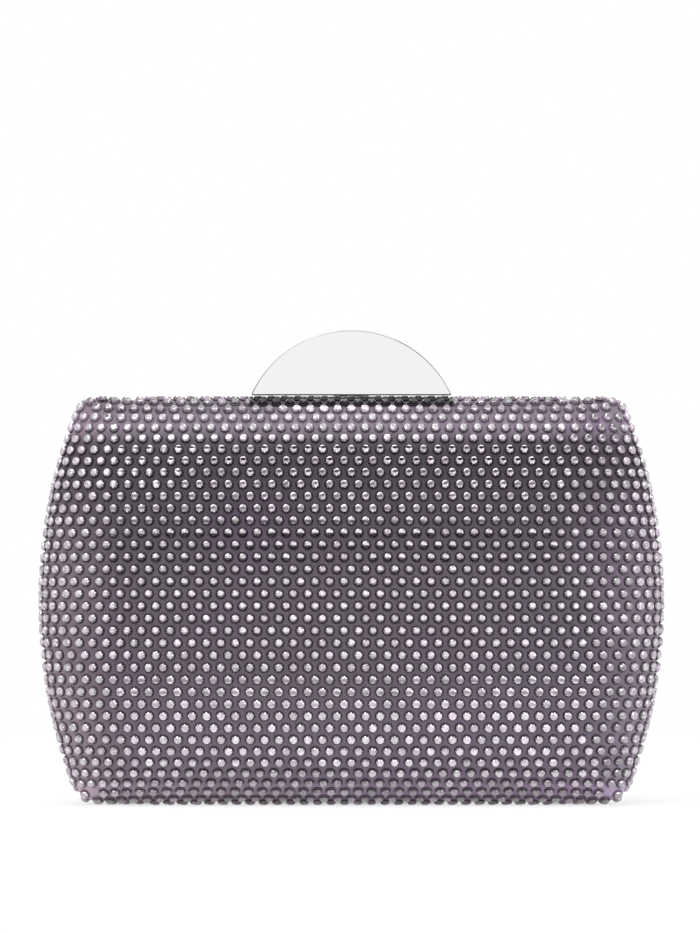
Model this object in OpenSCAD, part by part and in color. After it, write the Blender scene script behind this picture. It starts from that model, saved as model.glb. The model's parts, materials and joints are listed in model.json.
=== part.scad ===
// Hard-shell evening clutch: two crystal-covered halves, hinged along the base and held by a half-moon clasp.
// Millimetres. X is the width, the front faces -Y, Z is up, and the origin is under the middle of the base.

/* [Case] */
// Width of the closed case over the crystals
case_w = 165; // [155:1:175]
// Height of the case over the crystals, without the clasp
case_h = 107.6; // [100:0.2:116]
// Depth of the closed case over the crystals
case_d = 52; // [46:1:58]
// Radius of the two bowed ends
end_r = 140; // [120:5:170]
// Depth of the straight rim of each half
rim_d = 6.2; // [6:0.1:7]

/* [Skins] */
// Thickness of the mesh cloth that carries the crystals
cloth_t = 0.5; // [0.3:0.1:0.8]
// Wall of the moulded shell
shell_t = 1.5; // [1.2:0.1:2]
// Thickness of the satin lining on its card
lining_t = 0.9; // [0.6:0.1:1.2]

/* [Crystals] */
// Height of a crystal in its cup
crystal_h = 1.2; // [1:0.1:1.4]
// Diameter of a crystal's cup
crystal_d = 2.96; // [2.6:0.02:3]
// Diameter of a crystal's flat table
table_d = 1.8; // [1.4:0.1:2]
// Spacing of the crystals along a row
crystal_pitch = 3.75; // [3.7:0.05:4.2]

/* [Frame] */
// Depth of each frame's face bar
frame_w = 2.6; // [2.4:0.1:3]
// Reach of the face bar into the case, from the cloth
frame_reach = 4.2; // [4.2:0.1:5]
// Depth of the flange that the shell slides over
flange_w = 3.8; // [3.4:0.1:4.4]
// Thickness of that flange
flange_t = 1.4; // [1.2:0.1:1.6]
// How far the face bar stands out of the cloth, among the crystals
frame_proud = 0.4; // [0.2:0.1:0.6]
// Gap between the two frames when the case is shut
seam_gap = 0.2; // [0.1:0.05:0.3]

/* [Hinge] */
// Length of each of the two hinges
hinge_len = 26; // [20:1:34]
// Distance of each hinge from the middle
hinge_x = 38; // [30:1:44]
// Outside diameter of a knuckle
knuckle_d = 3.2; // [3:0.1:3.4]
// Depth of the hinge line inside the cloth
hinge_inset = 1.4; // [1.4:0.1:1.6]
// Diameter of the hinge pin
hinge_pin_d = 1.5; // [1.2:0.1:1.6]
// How far the case opens, in degrees
open_angle = 75; // [60:1:75]

/* [Clasp] */
// Length of the half-moon plate's straight edge
plate_w = 53.2; // [44:0.2:60]
// Height of the half-moon plate
plate_h = 17.3; // [14:0.1:20]
// Thickness of the plate
plate_t = 3; // [2.4:0.1:3.4]
// Gap between the plate and the crystals under it
plate_gap = 0.4; // [0.3:0.1:0.8]
// Width of the neck under the plate
neck_w = 9.3; // [8:0.1:11]
// Thickness of the neck
neck_t = 2.4; // [2:0.1:2.4]
// Diameter of the clasp's pivot pin
clasp_pin_d = 1.6; // [1.4:0.1:1.8]
// Depth of the pivot inside the cloth
pivot_inset = 3; // [2.8:0.1:3.2]
// Wire of the return spring
spring_wire = 0.4; // [0.3:0.05:0.4]

/* [Hidden] */

// Colours of the materials
cloth_colour = [0.42, 0.37, 0.42];
crystal_colour = [0.86, 0.83, 0.88];
shell_colour = [0.2, 0.19, 0.21];
satin_colour = [0.62, 0.6, 0.63];
metal_colour = [0.83, 0.83, 0.85];
steel_colour = [0.6, 0.61, 0.63];

// Overrun of every cut, and the clearance of parts that only lie beside each other
cut = 1;
fit_gap = 0.05;
run_gap = 0.15;
side_gap = 0.3;

// Half sizes of the cloth's outer surface, the datum that every skin and frame is inset from
mid_z = case_h / 2;
skin_w = case_w / 2 - crystal_h;
skin_h = case_h / 2 - crystal_h;
skin_d = case_d / 2 - crystal_h;
shell_in = cloth_t + shell_t;
lining_in = shell_in + lining_t;
flange_in = shell_in + flange_t;
flange_y = frame_w + flange_w;

// Form of the pillowed face: the powers of its fall towards the ends and towards top and base
end_power = 5;
top_power = 2.8;
rise_power = 0.53;
// Level of the face that the straight rim takes, and where the flat top and base stop
rim_level = 0.004;
flat_share = 0.9;

// Mesh of the skins: steps along top and end of a quarter ring, and the angles of the rings up the face
top_steps = 6;
end_steps = 7;
ring_angles = [9, 19, 30, 41, 52, 63, 73, 81];
// Samples of each track that crystals are spaced along
track_steps = 40;

function end_fall(p) = 1 - pow(abs(p), end_power);
function top_fall(q) = 1 - pow(abs(q), top_power);
function level_p(fall, level) = pow(max(0, 1 - level / fall), 1 / end_power);
function level_q(fall, level) = pow(max(0, 1 - level / fall), 1 / top_power);
flat_q = level_q(end_fall(flat_share), rim_level);

// Half width of the bowed outline at a height from the middle, and its slope
function bow(z) = end_r - sqrt(end_r * end_r - z * z);
function half_width(z, inset) = skin_w - inset - bow(z);
function bow_slope(z) = -z / sqrt(end_r * end_r - z * z);

// A point of a skin, from its shares across and up the case
function height_of(q, inset) = (skin_h - inset) * min(q, flat_q) / flat_q;
function depth_of(level, inset) = rim_d + (skin_d - rim_d - inset) * pow(level, rise_power);
function skin_point(p, q, level, inset, y) =
  let (z = height_of(q, inset)) [p * half_width(z, inset), y, z];

// Shares of a quarter ring's points at one level, crowded towards the corner
function crowd(share) = 1 - pow(1 - share, 2);
function quarter(level, tops, ends) =
  let (pc = level_p(sqrt(level), level), qc = level_q(sqrt(level), level))
  concat(
    [for (k = [0:tops]) let (p = pc * crowd(k / tops)) [p, level_q(end_fall(p), level)]],
    [for (k = [1:ends]) let (q = qc * (1 - pow(k / ends, 2))) [level_p(top_fall(q), level), q]]
  );

// A whole ring, clockwise seen from the front, as [x, y, z]
function ring(level, inset, y, tops = top_steps, ends = end_steps) =
  let (
    shares = quarter(level, tops, ends),
    last = tops + ends,
    pts = [for (s = shares) skin_point(s[0], s[1], level, inset, y)]
  )
  concat(
    [for (k = [0:last - 1]) pts[k]],
    [for (k = [last:-1:1]) [pts[k][0], y, -pts[k][2]]],
    [for (k = [0:last - 1]) [-pts[k][0], y, -pts[k][2]]],
    [for (k = [last:-1:1]) [-pts[k][0], y, pts[k][2]]]
  );

// Outline of the straight rim, as a flat polygon in X and Z
function outline(inset) = [for (v = ring(rim_level, inset, 0)) [v[0], v[2]]];

// A block with the case's outline, from one depth to another
module slab(inset, from_y, to_y) {
  translate([0, to_y, mid_z]) rotate([90, 0, 0]) linear_extrude(to_y - from_y) polygon(outline(inset));
}

// Rings of one surface of a skin, from its free edge to the crown
function surface_rings(inset, edge_y) =
  concat(
    [ring(rim_level, inset, edge_y)],
    [ring(rim_level, inset, depth_of(rim_level, inset))],
    [for (a = ring_angles) let (level = pow(sin(a), 1 / rise_power))
      ring(level, inset, depth_of(level, inset))]
  );

// A dished skin between two insets, with its free edge at edge_y
module skin(outer, inner, edge_y) {
  outside = surface_rings(outer, edge_y);
  inside = surface_rings(inner, edge_y);
  count = len(outside[0]);
  rows = len(outside);
  half = rows * count;
  points = concat(
    [for (r = outside) each r], [for (r = inside) each r],
    [[0, skin_d - outer, 0], [0, skin_d - inner, 0]]
  );
  walls = [for (r = [0:rows - 2]) for (k = [0:count - 1]) each
    let (a = r * count + k, b = r * count + (k + 1) % count, c = a + count, d = b + count)
    [[a, c, b], [b, c, d], [half + a, half + b, half + c], [half + b, half + d, half + c]]];
  caps = [for (k = [0:count - 1]) each
    let (a = (rows - 1) * count + k, b = (rows - 1) * count + (k + 1) % count)
    [[a, 2 * half, b], [half + a, half + b, 2 * half + 1]]];
  edge = [for (k = [0:count - 1]) each
    let (b = (k + 1) % count)
    [[k, b, half + k], [b, half + b, half + k]]];
  translate([0, 0, mid_z]) polyhedron(points = points, faces = concat(walls, caps, edge), convexity = 4);
}

// Arc lengths along a list of points, and a place at one arc length
function arcs(points, k = 0, sum = 0, done = []) =
  k == len(points) ? done :
  let (next = k == 0 ? 0 : sum + norm(points[k] - points[k - 1]))
  arcs(points, k + 1, next, concat(done, [next]));
function table_of(points) = [arcs(points), points];
function length_of(table) = table[0][len(table[0]) - 1];
function at(table, arc) = [for (axis = [0:2])
  lookup(arc, [for (k = [0:len(table[0]) - 1]) [table[0][k], table[1][k][axis]]])];

// A track across the face at one height share, and one up the face at one width share
function row_track(q) =
  let (end_p = level_p(top_fall(q), rim_level))
  table_of(concat(
    [for (k = [0:track_steps]) let (p = end_p * crowd(k / track_steps))
      skin_point(p, q, rim_level, 0, depth_of(end_fall(p) * top_fall(q), 0))],
    [skin_point(end_p, q, rim_level, 0, edge_row_y)]
  ));
function column_track(p) =
  let (end_q = level_q(end_fall(p), rim_level))
  table_of(concat(
    [for (k = [0:track_steps]) let (q = end_q * crowd(k / track_steps))
      skin_point(p, q, rim_level, 0, depth_of(end_fall(p) * top_fall(q), 0))],
    [skin_point(p, end_q, rim_level, 0, edge_row_y)]
  ));

// Direction that the cloth faces at a place on it
function facing(v) =
  let (
    z = v[2],
    w = half_width(z, 0),
    p = v[0] / w,
    q = z * flat_q / skin_h,
    drop = skin_d - rim_d,
    rise = max(0, v[1] - rim_d) / drop,
    fall_p = end_power * pow(abs(p), end_power - 1) * top_fall(q) / w,
    fall_q = top_power * pow(abs(q), top_power - 1) * end_fall(p) * flat_q / skin_h,
    n = [fall_p, pow(rise, 1 / rise_power - 1) / rise_power / drop, fall_q - fall_p * p * bow_slope(z)]
  ) n / norm(n);

// The edge row runs round the rim beside the frame, and the other rows lie at even steps from the crown
edge_row_y = frame_w + side_gap + crystal_d / 2;
row_nominal = crystal_pitch * sin(60);
middle_track = column_track(0);
row_count = floor(length_of(middle_track) / row_nominal);
row_pitch = length_of(middle_track) / (row_count + 1 / 2);
// Rows up to here run level across the case, and the rows beyond follow the fall of the shoulder
straight_share = 0.7;
straight_rows = floor(row_count * straight_share);
row_heights = [for (j = [0:straight_rows])
  at(middle_track, (j + 1 / 2) * row_pitch)[2] * flat_q / skin_h];
// Crystals at the end of a row that take up its odd length, and how far one may be eased back to fit
eased_count = 6;
ease = 0.85;
crystal_gap = crystal_d + fit_gap;
// Where the tries for the last places of a corner start, as a share of the face, and how many there are
corner_from = 0.9;
corner_steps = 30;

// Places in row j of a right quarter, drawn upwards. The lower half has its rows staggered the other way
function row_places(j, lower) =
  let (
    track = row_track(row_heights[j]),
    offset = ((j + lower) % 2) / 2,
    count = round(length_of(track) / crystal_pitch - offset),
    odd = length_of(track) - (count + offset) * crystal_pitch
  )
  [for (i = [0:count - 1])
    let (share = max(0, 1 - (count - i) / eased_count))
    at(track, (i + offset) * crystal_pitch + odd * share)];

// Places in row j of the shoulder, up the columns of the last two level rows
function shoulder_places(j, lower) =
  let (base = straight_rows - (j - straight_rows) % 2)
  [for (v = row_places(base, lower))
    let (
      track = column_track(v[0] / half_width(v[2], 0)),
      from = lookup(v[2], [for (k = [0:len(track[0]) - 1]) [track[1][k][2], track[0][k]]]),
      arc = from + (j - base) * row_pitch,
      last = length_of(track) - crystal_gap
    )
    if (v[1] > rim_d + crystal_h && arc < last + ease) at(track, min(arc, last))];

// The next place outwards on the level of another
function beyond(v) =
  let (
    track = row_track(v[2] * flat_q / skin_h),
    from = lookup(v[0], [for (k = [0:len(track[0]) - 1]) [track[1][k][0], track[0][k]]])
  ) at(track, min(from + crystal_gap + side_gap, length_of(track)));

// Tries on a fine grid over the corner
function corner_share(k) = corner_from + k * (1 - corner_from) / corner_steps;
function corner_grid() =
  [for (k = [0:corner_steps]) for (m = [0:corner_steps])
    let (p = corner_share(k), q = corner_share(m), level = end_fall(p) * top_fall(q))
    if (level > rim_level && q < flat_q) skin_point(p, q, level, 0, depth_of(level, 0))];

// Keeps the places that lie clear of all those kept before
function nearest(place, others) = min([for (v = others) norm(v - place)]);
function settle(places, kept, k = 0) =
  k == len(places) ? kept :
  settle(places, nearest(places[k], kept) < crystal_gap ? kept : concat(kept, [places[k]]), k + 1);

// The edge row's places, evenly spaced round the rim, each with its facing
edge_loop = ring(rim_level, 0, edge_row_y, 4 * top_steps, 4 * end_steps);
edge_track = table_of(concat(edge_loop, [edge_loop[0]]));
edge_count = 2 * floor(length_of(edge_track) / (2 * crystal_d + crystal_h));
edge_places = [for (k = [0:edge_count - 1])
  let (
    arc = (k + 1 / 2) * length_of(edge_track) / edge_count,
    v = at(edge_track, arc),
    along = at(edge_track, arc + run_gap) - at(edge_track, arc - run_gap),
    out = [-along[2], 0, along[0]] / norm(along)
  ) [v, out]];

// A quarter's crystals, each as its place and facing. None is too near another or the edge row, and one that
// would stand past the plane of the base is set upright, with its crown in that plane
function set_crystals(lower) =
  let (
    level_rows = [for (j = [0:straight_rows]) row_places(j, lower)],
    rising_rows = [for (j = [straight_rows + 1:row_count - 1]) shoulder_places(j, lower)],
    further = [for (back = [1:3]) for (r = rising_rows) beyond(r[len(r) - back])],
    edge_points = [for (e = edge_places) e[0]],
    tries = [for (v = concat([for (r = rising_rows) each r], further, corner_grid()))
      if (nearest(v, edge_points) > crystal_d) v],
    shoulder = settle(tries, concat(level_rows[straight_rows - 1], level_rows[straight_rows]))
  )
  [for (v = concat([for (j = [0:straight_rows - 2]) each level_rows[j]], shoulder))
    let (
      n = facing(v),
      reach = crystal_h * n[2] + table_d / 2 * sqrt(1 - n[2] * n[2]),
      over = v[2] + reach - skin_h - crystal_h
    )
    over > fit_gap ? [[v[0], v[1], skin_h], [0, 0, 1]] : [v - [0, 0, max(0, over)], n]];

module crystal() {
  cylinder(h = crystal_h, d1 = crystal_d, d2 = table_d, $fn = 24);
}

module set_crystal(v, n) {
  translate(v) rotate([0, acos(n[2]), atan2(n[1], n[0])]) crystal();
}

// All the crystals of the domed face, mirrored from its two right quarters
module face_crystals() {
  translate([0, 0, mid_z]) for (lower = [0, 1]) for (c = set_crystals(lower)) {
    v = c[0];
    n = c[1];
    sz = 1 - 2 * lower;
    for (sx = v[0] > crystal_gap / 4 ? [-1, 1] : [1])
      set_crystal([v[0] * sx, v[1], v[2] * sz], [n[0] * sx, n[1], n[2] * sz]);
  }
}

// The edge row's crystals, either those that the case stands on or the rest
module edge_crystals(standing) {
  translate([0, 0, mid_z]) for (e = edge_places) {
    down = e[0][2] < -skin_h + cloth_t;
    if (down == standing) set_crystal(e[0], e[1]);
  }
}

// Rear pieces are drawn as they are, and front pieces are the same ones mirrored
module front() {
  mirror([0, 1, 0]) children();
}

module cloth() {
  color(cloth_colour) skin(0, cloth_t, frame_w);
}

module shell() {
  color(shell_colour) skin(cloth_t, shell_in, frame_w);
}

module lining() {
  color(satin_colour) skin(shell_in, lining_in, flange_y + fit_gap);
}

// Heights of the hinge line and of the clasp's pivot
hinge_z = crystal_h + hinge_inset;
top_z = case_h - crystal_h;
pivot_z = top_z - pivot_inset;
// The bevel under the hinge line that lets the frames meet when the case is open
bevel_slack = 1;
bevel_angle = open_angle / 2 + bevel_slack;
ear_gap = 0.5;
ear_t = 1.2;
ear_r = 1.9;
ear_in = neck_w / 2 + ear_gap;
window_w = 2 * (ear_in + ear_t + side_gap);

// The face bar stands out further at the base, level with the crystals, where the case rests on it
base_bar_w = 2 * (hinge_x + hinge_len);

// The two frames differ only in how far the slot for the clasp's neck reaches
module frame(slot_y) {
  color(metal_colour) difference() {
    union() {
      difference() {
        union() {
          slab(-frame_proud, seam_gap / 2, frame_w);
          translate([-base_bar_w / 2, seam_gap / 2, 0])
            cube([base_bar_w, frame_w - seam_gap / 2, 2 * crystal_h]);
        }
        slab(frame_reach, -cut, frame_w + cut);
      }
      difference() {
        slab(shell_in, frame_w - fit_gap, flange_y);
        slab(flange_in, -cut, flange_y + cut);
      }
    }
    hinge_bevel();
    for (side = [-1, 1]) hinge_slot(side);
    for (x = hinge_rivet_xs()) rivet_hole([x, leaf_rivet_y, crystal_h + shell_in - cut], flange_t + 2 * cut);
    clasp_window(slot_y);
    for (x = [-clasp_rivet_x, clasp_rivet_x])
      rivet_hole([x, clasp_rivet_y, top_z - flange_in - cut], flange_t + 2 * cut);
  }
}

module hinge_bevel() {
  drop = hinge_z + cut;
  translate([-case_w / 2, 0, 0]) rotate([90, 0, 90]) linear_extrude(case_w)
    polygon([[-cut, hinge_z], [0, hinge_z], [drop * tan(bevel_angle), -cut], [-cut, -cut]]);
}

// The face bar is cut away over the whole of each hinge
module hinge_slot(side) {
  long = hinge_len + 2 * (pin_head_h + side_gap);
  translate([side * hinge_x - long / 2, -cut, -cut])
    cube([long, frame_w + cut, crystal_h + frame_reach + 2 * cut]);
}

// Room for the pivot under the face bar, and a slot through the bar for the neck
module clasp_window(slot_y) {
  roof = pivot_z + ear_r + fit_gap;
  slot_w = neck_w + 2 * (side_gap + fit_gap);
  floor_z = top_z - frame_reach - cut;
  translate([-window_w / 2, -cut, floor_z]) cube([window_w, frame_w + cut, roof - floor_z]);
  translate([-slot_w / 2, -cut, roof - fit_gap]) cube([slot_w, slot_y + cut, case_h + cut - roof]);
}

// Hinge leaves lie on the inner face of the flange and roll down round the pin
leaf_t = 0.8;
leaf_y = 6;
leaf_z = crystal_h + flange_in;
pin_head_h = 0.6;
pin_head_d = 2.4;
knuckle_count = 5;
knuckle_len = (hinge_len - (knuckle_count - 1) * run_gap) / knuckle_count;
leaf_rivet_y = frame_w + flange_w / 2;
leaf_rivet_share = 0.36;

// Rivets, with a domed head on the inside of the case
rivet_d = 1.4;
rivet_head_d = 2.4;
rivet_head_h = 0.5;

function hinge_rivet_xs() = [for (side = [-1, 1]) for (end = [-1, 1])
  side * hinge_x + end * hinge_len * leaf_rivet_share];

// A hole upwards from a place, and a hole or a pin to the right of one
module rivet_hole(place, length) {
  translate(place) cylinder(h = length, d = rivet_d + 2 * fit_gap, $fn = 24);
}

module cross_hole(place, length, diameter) {
  translate(place) rotate([0, 90, 0]) cylinder(h = length, d = diameter + 2 * fit_gap, $fn = 32);
}

module rivet(length) {
  cylinder(h = length, d = rivet_d, $fn = 24);
  translate([0, 0, length]) intersection() {
    ball_r = (rivet_head_d * rivet_head_d / 4 + rivet_head_h * rivet_head_h) / (2 * rivet_head_h);
    translate([0, 0, rivet_head_h - ball_r]) sphere(r = ball_r, $fn = 32);
    cylinder(h = rivet_head_h, d = rivet_head_d, $fn = 32);
  }
}

// A leaf holds either the odd or the even knuckles
module hinge_leaf(side, first) {
  color(steel_colour) translate([side * hinge_x - hinge_len / 2, 0, 0]) difference() {
    union() {
      translate([0, run_gap, leaf_z]) cube([hinge_len, leaf_y, leaf_t]);
      for (k = [first:2:knuckle_count - 1]) translate([k * (knuckle_len + run_gap), 0, 0]) knuckle();
    }
    cross_hole([-cut, 0, hinge_z], hinge_len + 2 * cut, hinge_pin_d);
    for (end = [-1, 1]) translate([hinge_len * (1 / 2 + end * leaf_rivet_share), 0, 0])
      rivet_hole([0, leaf_rivet_y, leaf_z - cut], leaf_t + 2 * cut);
  }
}

module knuckle() {
  translate([0, 0, hinge_z]) rotate([0, 90, 0]) cylinder(h = knuckle_len, d = knuckle_d, $fn = 40);
  translate([0, run_gap, hinge_z]) cube([knuckle_len, knuckle_d / 2 - run_gap, leaf_z + leaf_t - hinge_z]);
}

module hinge_pin(side) {
  color(steel_colour) translate([side * hinge_x - hinge_len / 2, 0, hinge_z]) rotate([0, 90, 0]) {
    cylinder(h = hinge_len, d = hinge_pin_d, $fn = 32);
    translate([0, 0, -pin_head_h]) cylinder(h = pin_head_h, d = pin_head_d, $fn = 32);
    translate([0, 0, hinge_len]) cylinder(h = pin_head_h, d = pin_head_d, $fn = 32);
  }
}

module hinge_rivets() {
  color(steel_colour) for (x = hinge_rivet_xs())
    translate([x, leaf_rivet_y, crystal_h + shell_in + fit_gap]) rivet(flange_t + leaf_t - fit_gap);
}

// Lugs for a carrying chain, on the inside of the rear frame
lug_z = 84;
lug_t = 1.2;
lug_y = 3.2;
lug_r = 2.4;
lug_hole_d = 2.6;
lug_reach = 4.4;

module chain_lug(side) {
  z = lug_z - mid_z;
  root = half_width(z, flange_in);
  color(metal_colour) difference() {
    intersection() {
      slab(flange_in, lug_y, lug_y + lug_t);
      union() {
        translate([side * (root - lug_reach), lug_y, lug_z]) rotate([-90, 0, 0])
          cylinder(h = lug_t, r = lug_r, $fn = 48);
        translate([side > 0 ? root - lug_reach : -root - lug_r, lug_y, lug_z - lug_r])
          cube([lug_reach + lug_r, lug_t, 2 * lug_r]);
      }
    }
    translate([side * (root - lug_reach), lug_y - cut, lug_z]) rotate([-90, 0, 0])
      cylinder(h = lug_t + 2 * cut, d = lug_hole_d, $fn = 40);
  }
}

// The catch is a leaf spring under the rear frame, with a lip that the lever's nose hooks behind
catch_t = 0.6;
catch_len = 24;
catch_lip_w = 8;
catch_lip_h = 1.2;
clasp_rivet_x = 9.6;
clasp_rivet_y = 4.5;
catch_y = frame_w + run_gap;

module catch_spring() {
  color(steel_colour) translate([0, 0, top_z - flange_in - catch_t]) difference() {
    union() {
      translate([-catch_len / 2, catch_y, 0]) cube([catch_len, flange_y - catch_y, catch_t]);
      translate([-catch_lip_w / 2, flange_y - catch_t, -catch_lip_h])
        cube([catch_lip_w, catch_t, catch_lip_h + fit_gap]);
    }
    for (x = [-clasp_rivet_x, clasp_rivet_x]) rivet_hole([x, clasp_rivet_y, -cut], catch_t + 2 * cut);
  }
}

module clasp_rivets(under) {
  color(steel_colour) for (x = [-clasp_rivet_x, clasp_rivet_x])
    translate([x, clasp_rivet_y, top_z - shell_in - fit_gap]) mirror([0, 0, 1])
      rivet(flange_t + under - fit_gap);
}

// The bracket hangs under the front frame, and its two ears hold the pivot pin
bracket_t = 1;
bracket_w = 22.4;

module clasp_bracket() {
  color(metal_colour) difference() {
    union() {
      translate([-bracket_w / 2, catch_y, top_z - flange_in - bracket_t])
        cube([bracket_w, flange_y - catch_y, bracket_t]);
      for (side = [-1, 1]) translate([side > 0 ? ear_in : -ear_in - ear_t, 0, 0]) ear();
    }
    cross_hole([-bracket_w / 2, 0, pivot_z], bracket_w, clasp_pin_d);
    for (x = [-clasp_rivet_x, clasp_rivet_x])
      rivet_hole([x, clasp_rivet_y, top_z - flange_in - bracket_t - cut], bracket_t + 2 * cut);
  }
}

module ear() {
  translate([0, 0, pivot_z]) rotate([0, 90, 0]) cylinder(h = ear_t, r = ear_r, $fn = 48);
  translate([0, 0, pivot_z - ear_r]) cube([ear_t, flange_y, ear_r + pivot_inset - flange_in]);
}

module clasp_pin() {
  span = 2 * (ear_in + ear_t);
  head_h = side_gap - fit_gap;
  head_d = clasp_pin_d + 2 * side_gap;
  color(steel_colour) translate([-span / 2, 0, pivot_z]) rotate([0, 90, 0]) {
    cylinder(h = span, d = clasp_pin_d, $fn = 32);
    translate([0, 0, -head_h]) cylinder(h = head_h, d = head_d, $fn = 32);
    translate([0, 0, span]) cylinder(h = head_h, d = head_d, $fn = 32);
  }
}

// The lever is drawn for the front half: its arm reaches back under the catch
boss_r = 1.8;
arm_w = 7;
arm_t = 1.2;
arm_top = flange_in + catch_t + catch_lip_h + side_gap;
nose_t = 1.1;
nose_clear = 0.3;
fork_w = 4.6;
fork_top = 1;
plate_z = case_h + plate_gap;

module clasp_lever() {
  arm_z = top_z - arm_top - arm_t;
  nose_y = flange_y + side_gap;
  color(metal_colour) difference() {
    union() {
      translate([-neck_w / 2, -neck_t / 2, pivot_z]) cube([neck_w, neck_t, plate_z - pivot_z]);
      translate([-neck_w / 2, 0, pivot_z]) rotate([0, 90, 0]) cylinder(h = neck_w, r = boss_r, $fn = 48);
      translate([-arm_w / 2, -neck_t / 2, arm_z]) cube([arm_w, neck_t, pivot_z - arm_z]);
      translate([-arm_w / 2, -neck_t / 2, arm_z]) cube([arm_w, nose_y + nose_t + neck_t / 2, arm_t]);
      translate([-arm_w / 2, nose_y, arm_z])
        cube([arm_w, nose_t, top_z - flange_in - catch_t - nose_clear - arm_z]);
    }
    cross_hole([-neck_w / 2 - cut, 0, pivot_z], neck_w + 2 * cut, clasp_pin_d);
    spring_fork(arm_z);
    for (side = [-1, 1]) stud_hole(side);
  }
}

// The slot in the lever that the return spring winds in
module spring_fork(arm_z) {
  translate([-fork_w / 2, -boss_r - cut, top_z - arm_top])
    cube([fork_w, 2 * (boss_r + cut), arm_top - fork_top]);
  translate([-fork_w / 2, -boss_r - cut, arm_z - cut])
    cube([fork_w, boss_r + cut - (spring_r - spring_wire / 2 - fit_gap), arm_t + 2 * cut]);
}

// The plate is a slice of a bevelled disc, standing on the neck
plate_r = (plate_w * plate_w / 4 + plate_h * plate_h) / (2 * plate_h);
plate_bevel = 0.5;
stud_d = 1.2;
stud_len = 2.4;
stud_x = 2.8;

module stud_hole(side) {
  translate([side * stud_x, 0, plate_z - stud_len])
    cylinder(h = 2 * stud_len, d = stud_d + 2 * fit_gap, $fn = 24);
}

module plate_disc() {
  flat_t = plate_t - 2 * plate_bevel;
  face_r = plate_r - plate_bevel;
  translate([0, 0, plate_z + plate_h - plate_r]) rotate([90, 0, 0]) {
    translate([0, 0, -flat_t / 2]) cylinder(h = flat_t, r = plate_r, $fn = 180);
    translate([0, 0, flat_t / 2]) cylinder(h = plate_bevel, r1 = plate_r, r2 = face_r, $fn = 180);
    translate([0, 0, -plate_t / 2]) cylinder(h = plate_bevel, r1 = face_r, r2 = plate_r, $fn = 180);
  }
}

module clasp_plate() {
  color(metal_colour) difference() {
    intersection() {
      plate_disc();
      translate([-plate_r, 0, plate_z]) rotate([90, 0, 90]) linear_extrude(2 * plate_r) polygon([
        [plate_bevel - plate_t / 2, 0], [plate_t / 2 - plate_bevel, 0], [plate_t / 2, plate_bevel],
        [plate_t / 2, plate_r], [-plate_t / 2, plate_r], [-plate_t / 2, plate_bevel]
      ]);
    }
    for (side = [-1, 1]) stud_hole(side);
  }
}

module clasp_plate_studs() {
  color(steel_colour) for (side = [-1, 1])
    translate([side * stud_x, 0, plate_z - stud_len])
      cylinder(h = 2 * stud_len - fit_gap, d = stud_d, $fn = 24);
}

// The return spring: a leg under the bracket, coils round the pin and a leg before the lever
spring_r = 1.3;
spring_steps = 8;
spring_turns = 3.75;
spring_pitch = 0.86;
spring_sides = 6;
front_leg_y = 5.4;
front_leg_drop = 0.6;
lever_leg = 3.2;

function spring_path() =
  let (
    span = spring_turns * spring_pitch,
    count = spring_turns * spring_steps,
    coil = [for (k = [0:count])
      let (a = 90 - k * 360 / spring_steps)
      [k / count * span - span / 2, -spring_r * cos(a), -spring_r * sin(a)]]
  )
  concat(
    [coil[0] + [0, front_leg_y, -front_leg_drop]], coil,
    [coil[count] + [0, 0, -lever_leg]]
  );

// Least gap between the spring's curls, on points that lie half a curl or more apart
function least_gap(path) =
  min([for (i = [0:len(path) - 1]) for (j = [i + spring_steps / 2:1:len(path) - 1]) norm(path[i] - path[j])])
  - spring_wire;
echo(spring_gap = least_gap(spring_path()));

// A closed tube along points whose path never runs along X
module tube(path, wire, sides) {
  last = len(path) - 1;
  points = concat(
    [for (k = [0:last]) each
      let (
        way = path[min(k + 1, last)] - path[max(k - 1, 0)],
        u = cross(way, [1, 0, 0]) / norm(cross(way, [1, 0, 0])),
        v = cross(u, way) / norm(way)
      ) [for (s = [0:sides - 1]) path[k] + wire / 2 * (u * cos(s * 360 / sides) + v * sin(s * 360 / sides))]],
    [path[0], path[last]]
  );
  middle = (last + 1) * sides;
  walls = [for (k = [0:last - 1]) for (s = [0:sides - 1]) each
    let (a = k * sides + s, b = k * sides + (s + 1) % sides)
    [[a, b, a + sides], [b, b + sides, a + sides]]];
  ends = [for (s = [0:sides - 1]) each
    let (t = (s + 1) % sides)
    [[middle, t, s], [middle + 1, last * sides + s, last * sides + t]]];
  polyhedron(points = points, faces = concat(walls, ends), convexity = 6);
}

module clasp_return_spring() {
  color(steel_colour) translate([0, 0, pivot_z]) tube(spring_path(), spring_wire, spring_sides);
}

front() shell();  // front_shell
front() cloth();  // front_cloth
front() color(crystal_colour) face_crystals();  // front_crystals
front() color(crystal_colour) edge_crystals(false);  // front_edge_crystals
front() color(crystal_colour) edge_crystals(true);  // front_base_crystals
front() frame(neck_t / 2 + fit_gap);  // front_frame
front() lining();  // front_lining
front() hinge_leaf(-1, 1);  // front_hinge_leaf_left
front() hinge_leaf(1, 1);  // front_hinge_leaf_right
front() hinge_rivets();  // front_hinge_rivets
shell();  // rear_shell
cloth();  // rear_cloth
color(crystal_colour) face_crystals();  // rear_crystals
color(crystal_colour) edge_crystals(false);  // rear_edge_crystals
color(crystal_colour) edge_crystals(true);  // rear_base_crystals
frame(frame_w);  // rear_frame
lining();  // rear_lining
hinge_leaf(-1, 0);  // rear_hinge_leaf_left
hinge_leaf(1, 0);  // rear_hinge_leaf_right
hinge_rivets();  // rear_hinge_rivets
hinge_pin(-1);  // hinge_pin_left
hinge_pin(1);  // hinge_pin_right
chain_lug(-1);  // chain_lug_left
chain_lug(1);  // chain_lug_right
catch_spring();
clasp_rivets(catch_t);  // catch_rivets
front() clasp_bracket();
front() clasp_rivets(bracket_t);  // clasp_bracket_rivets
clasp_pin();
front() clasp_return_spring();
clasp_lever();
clasp_plate();
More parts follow.
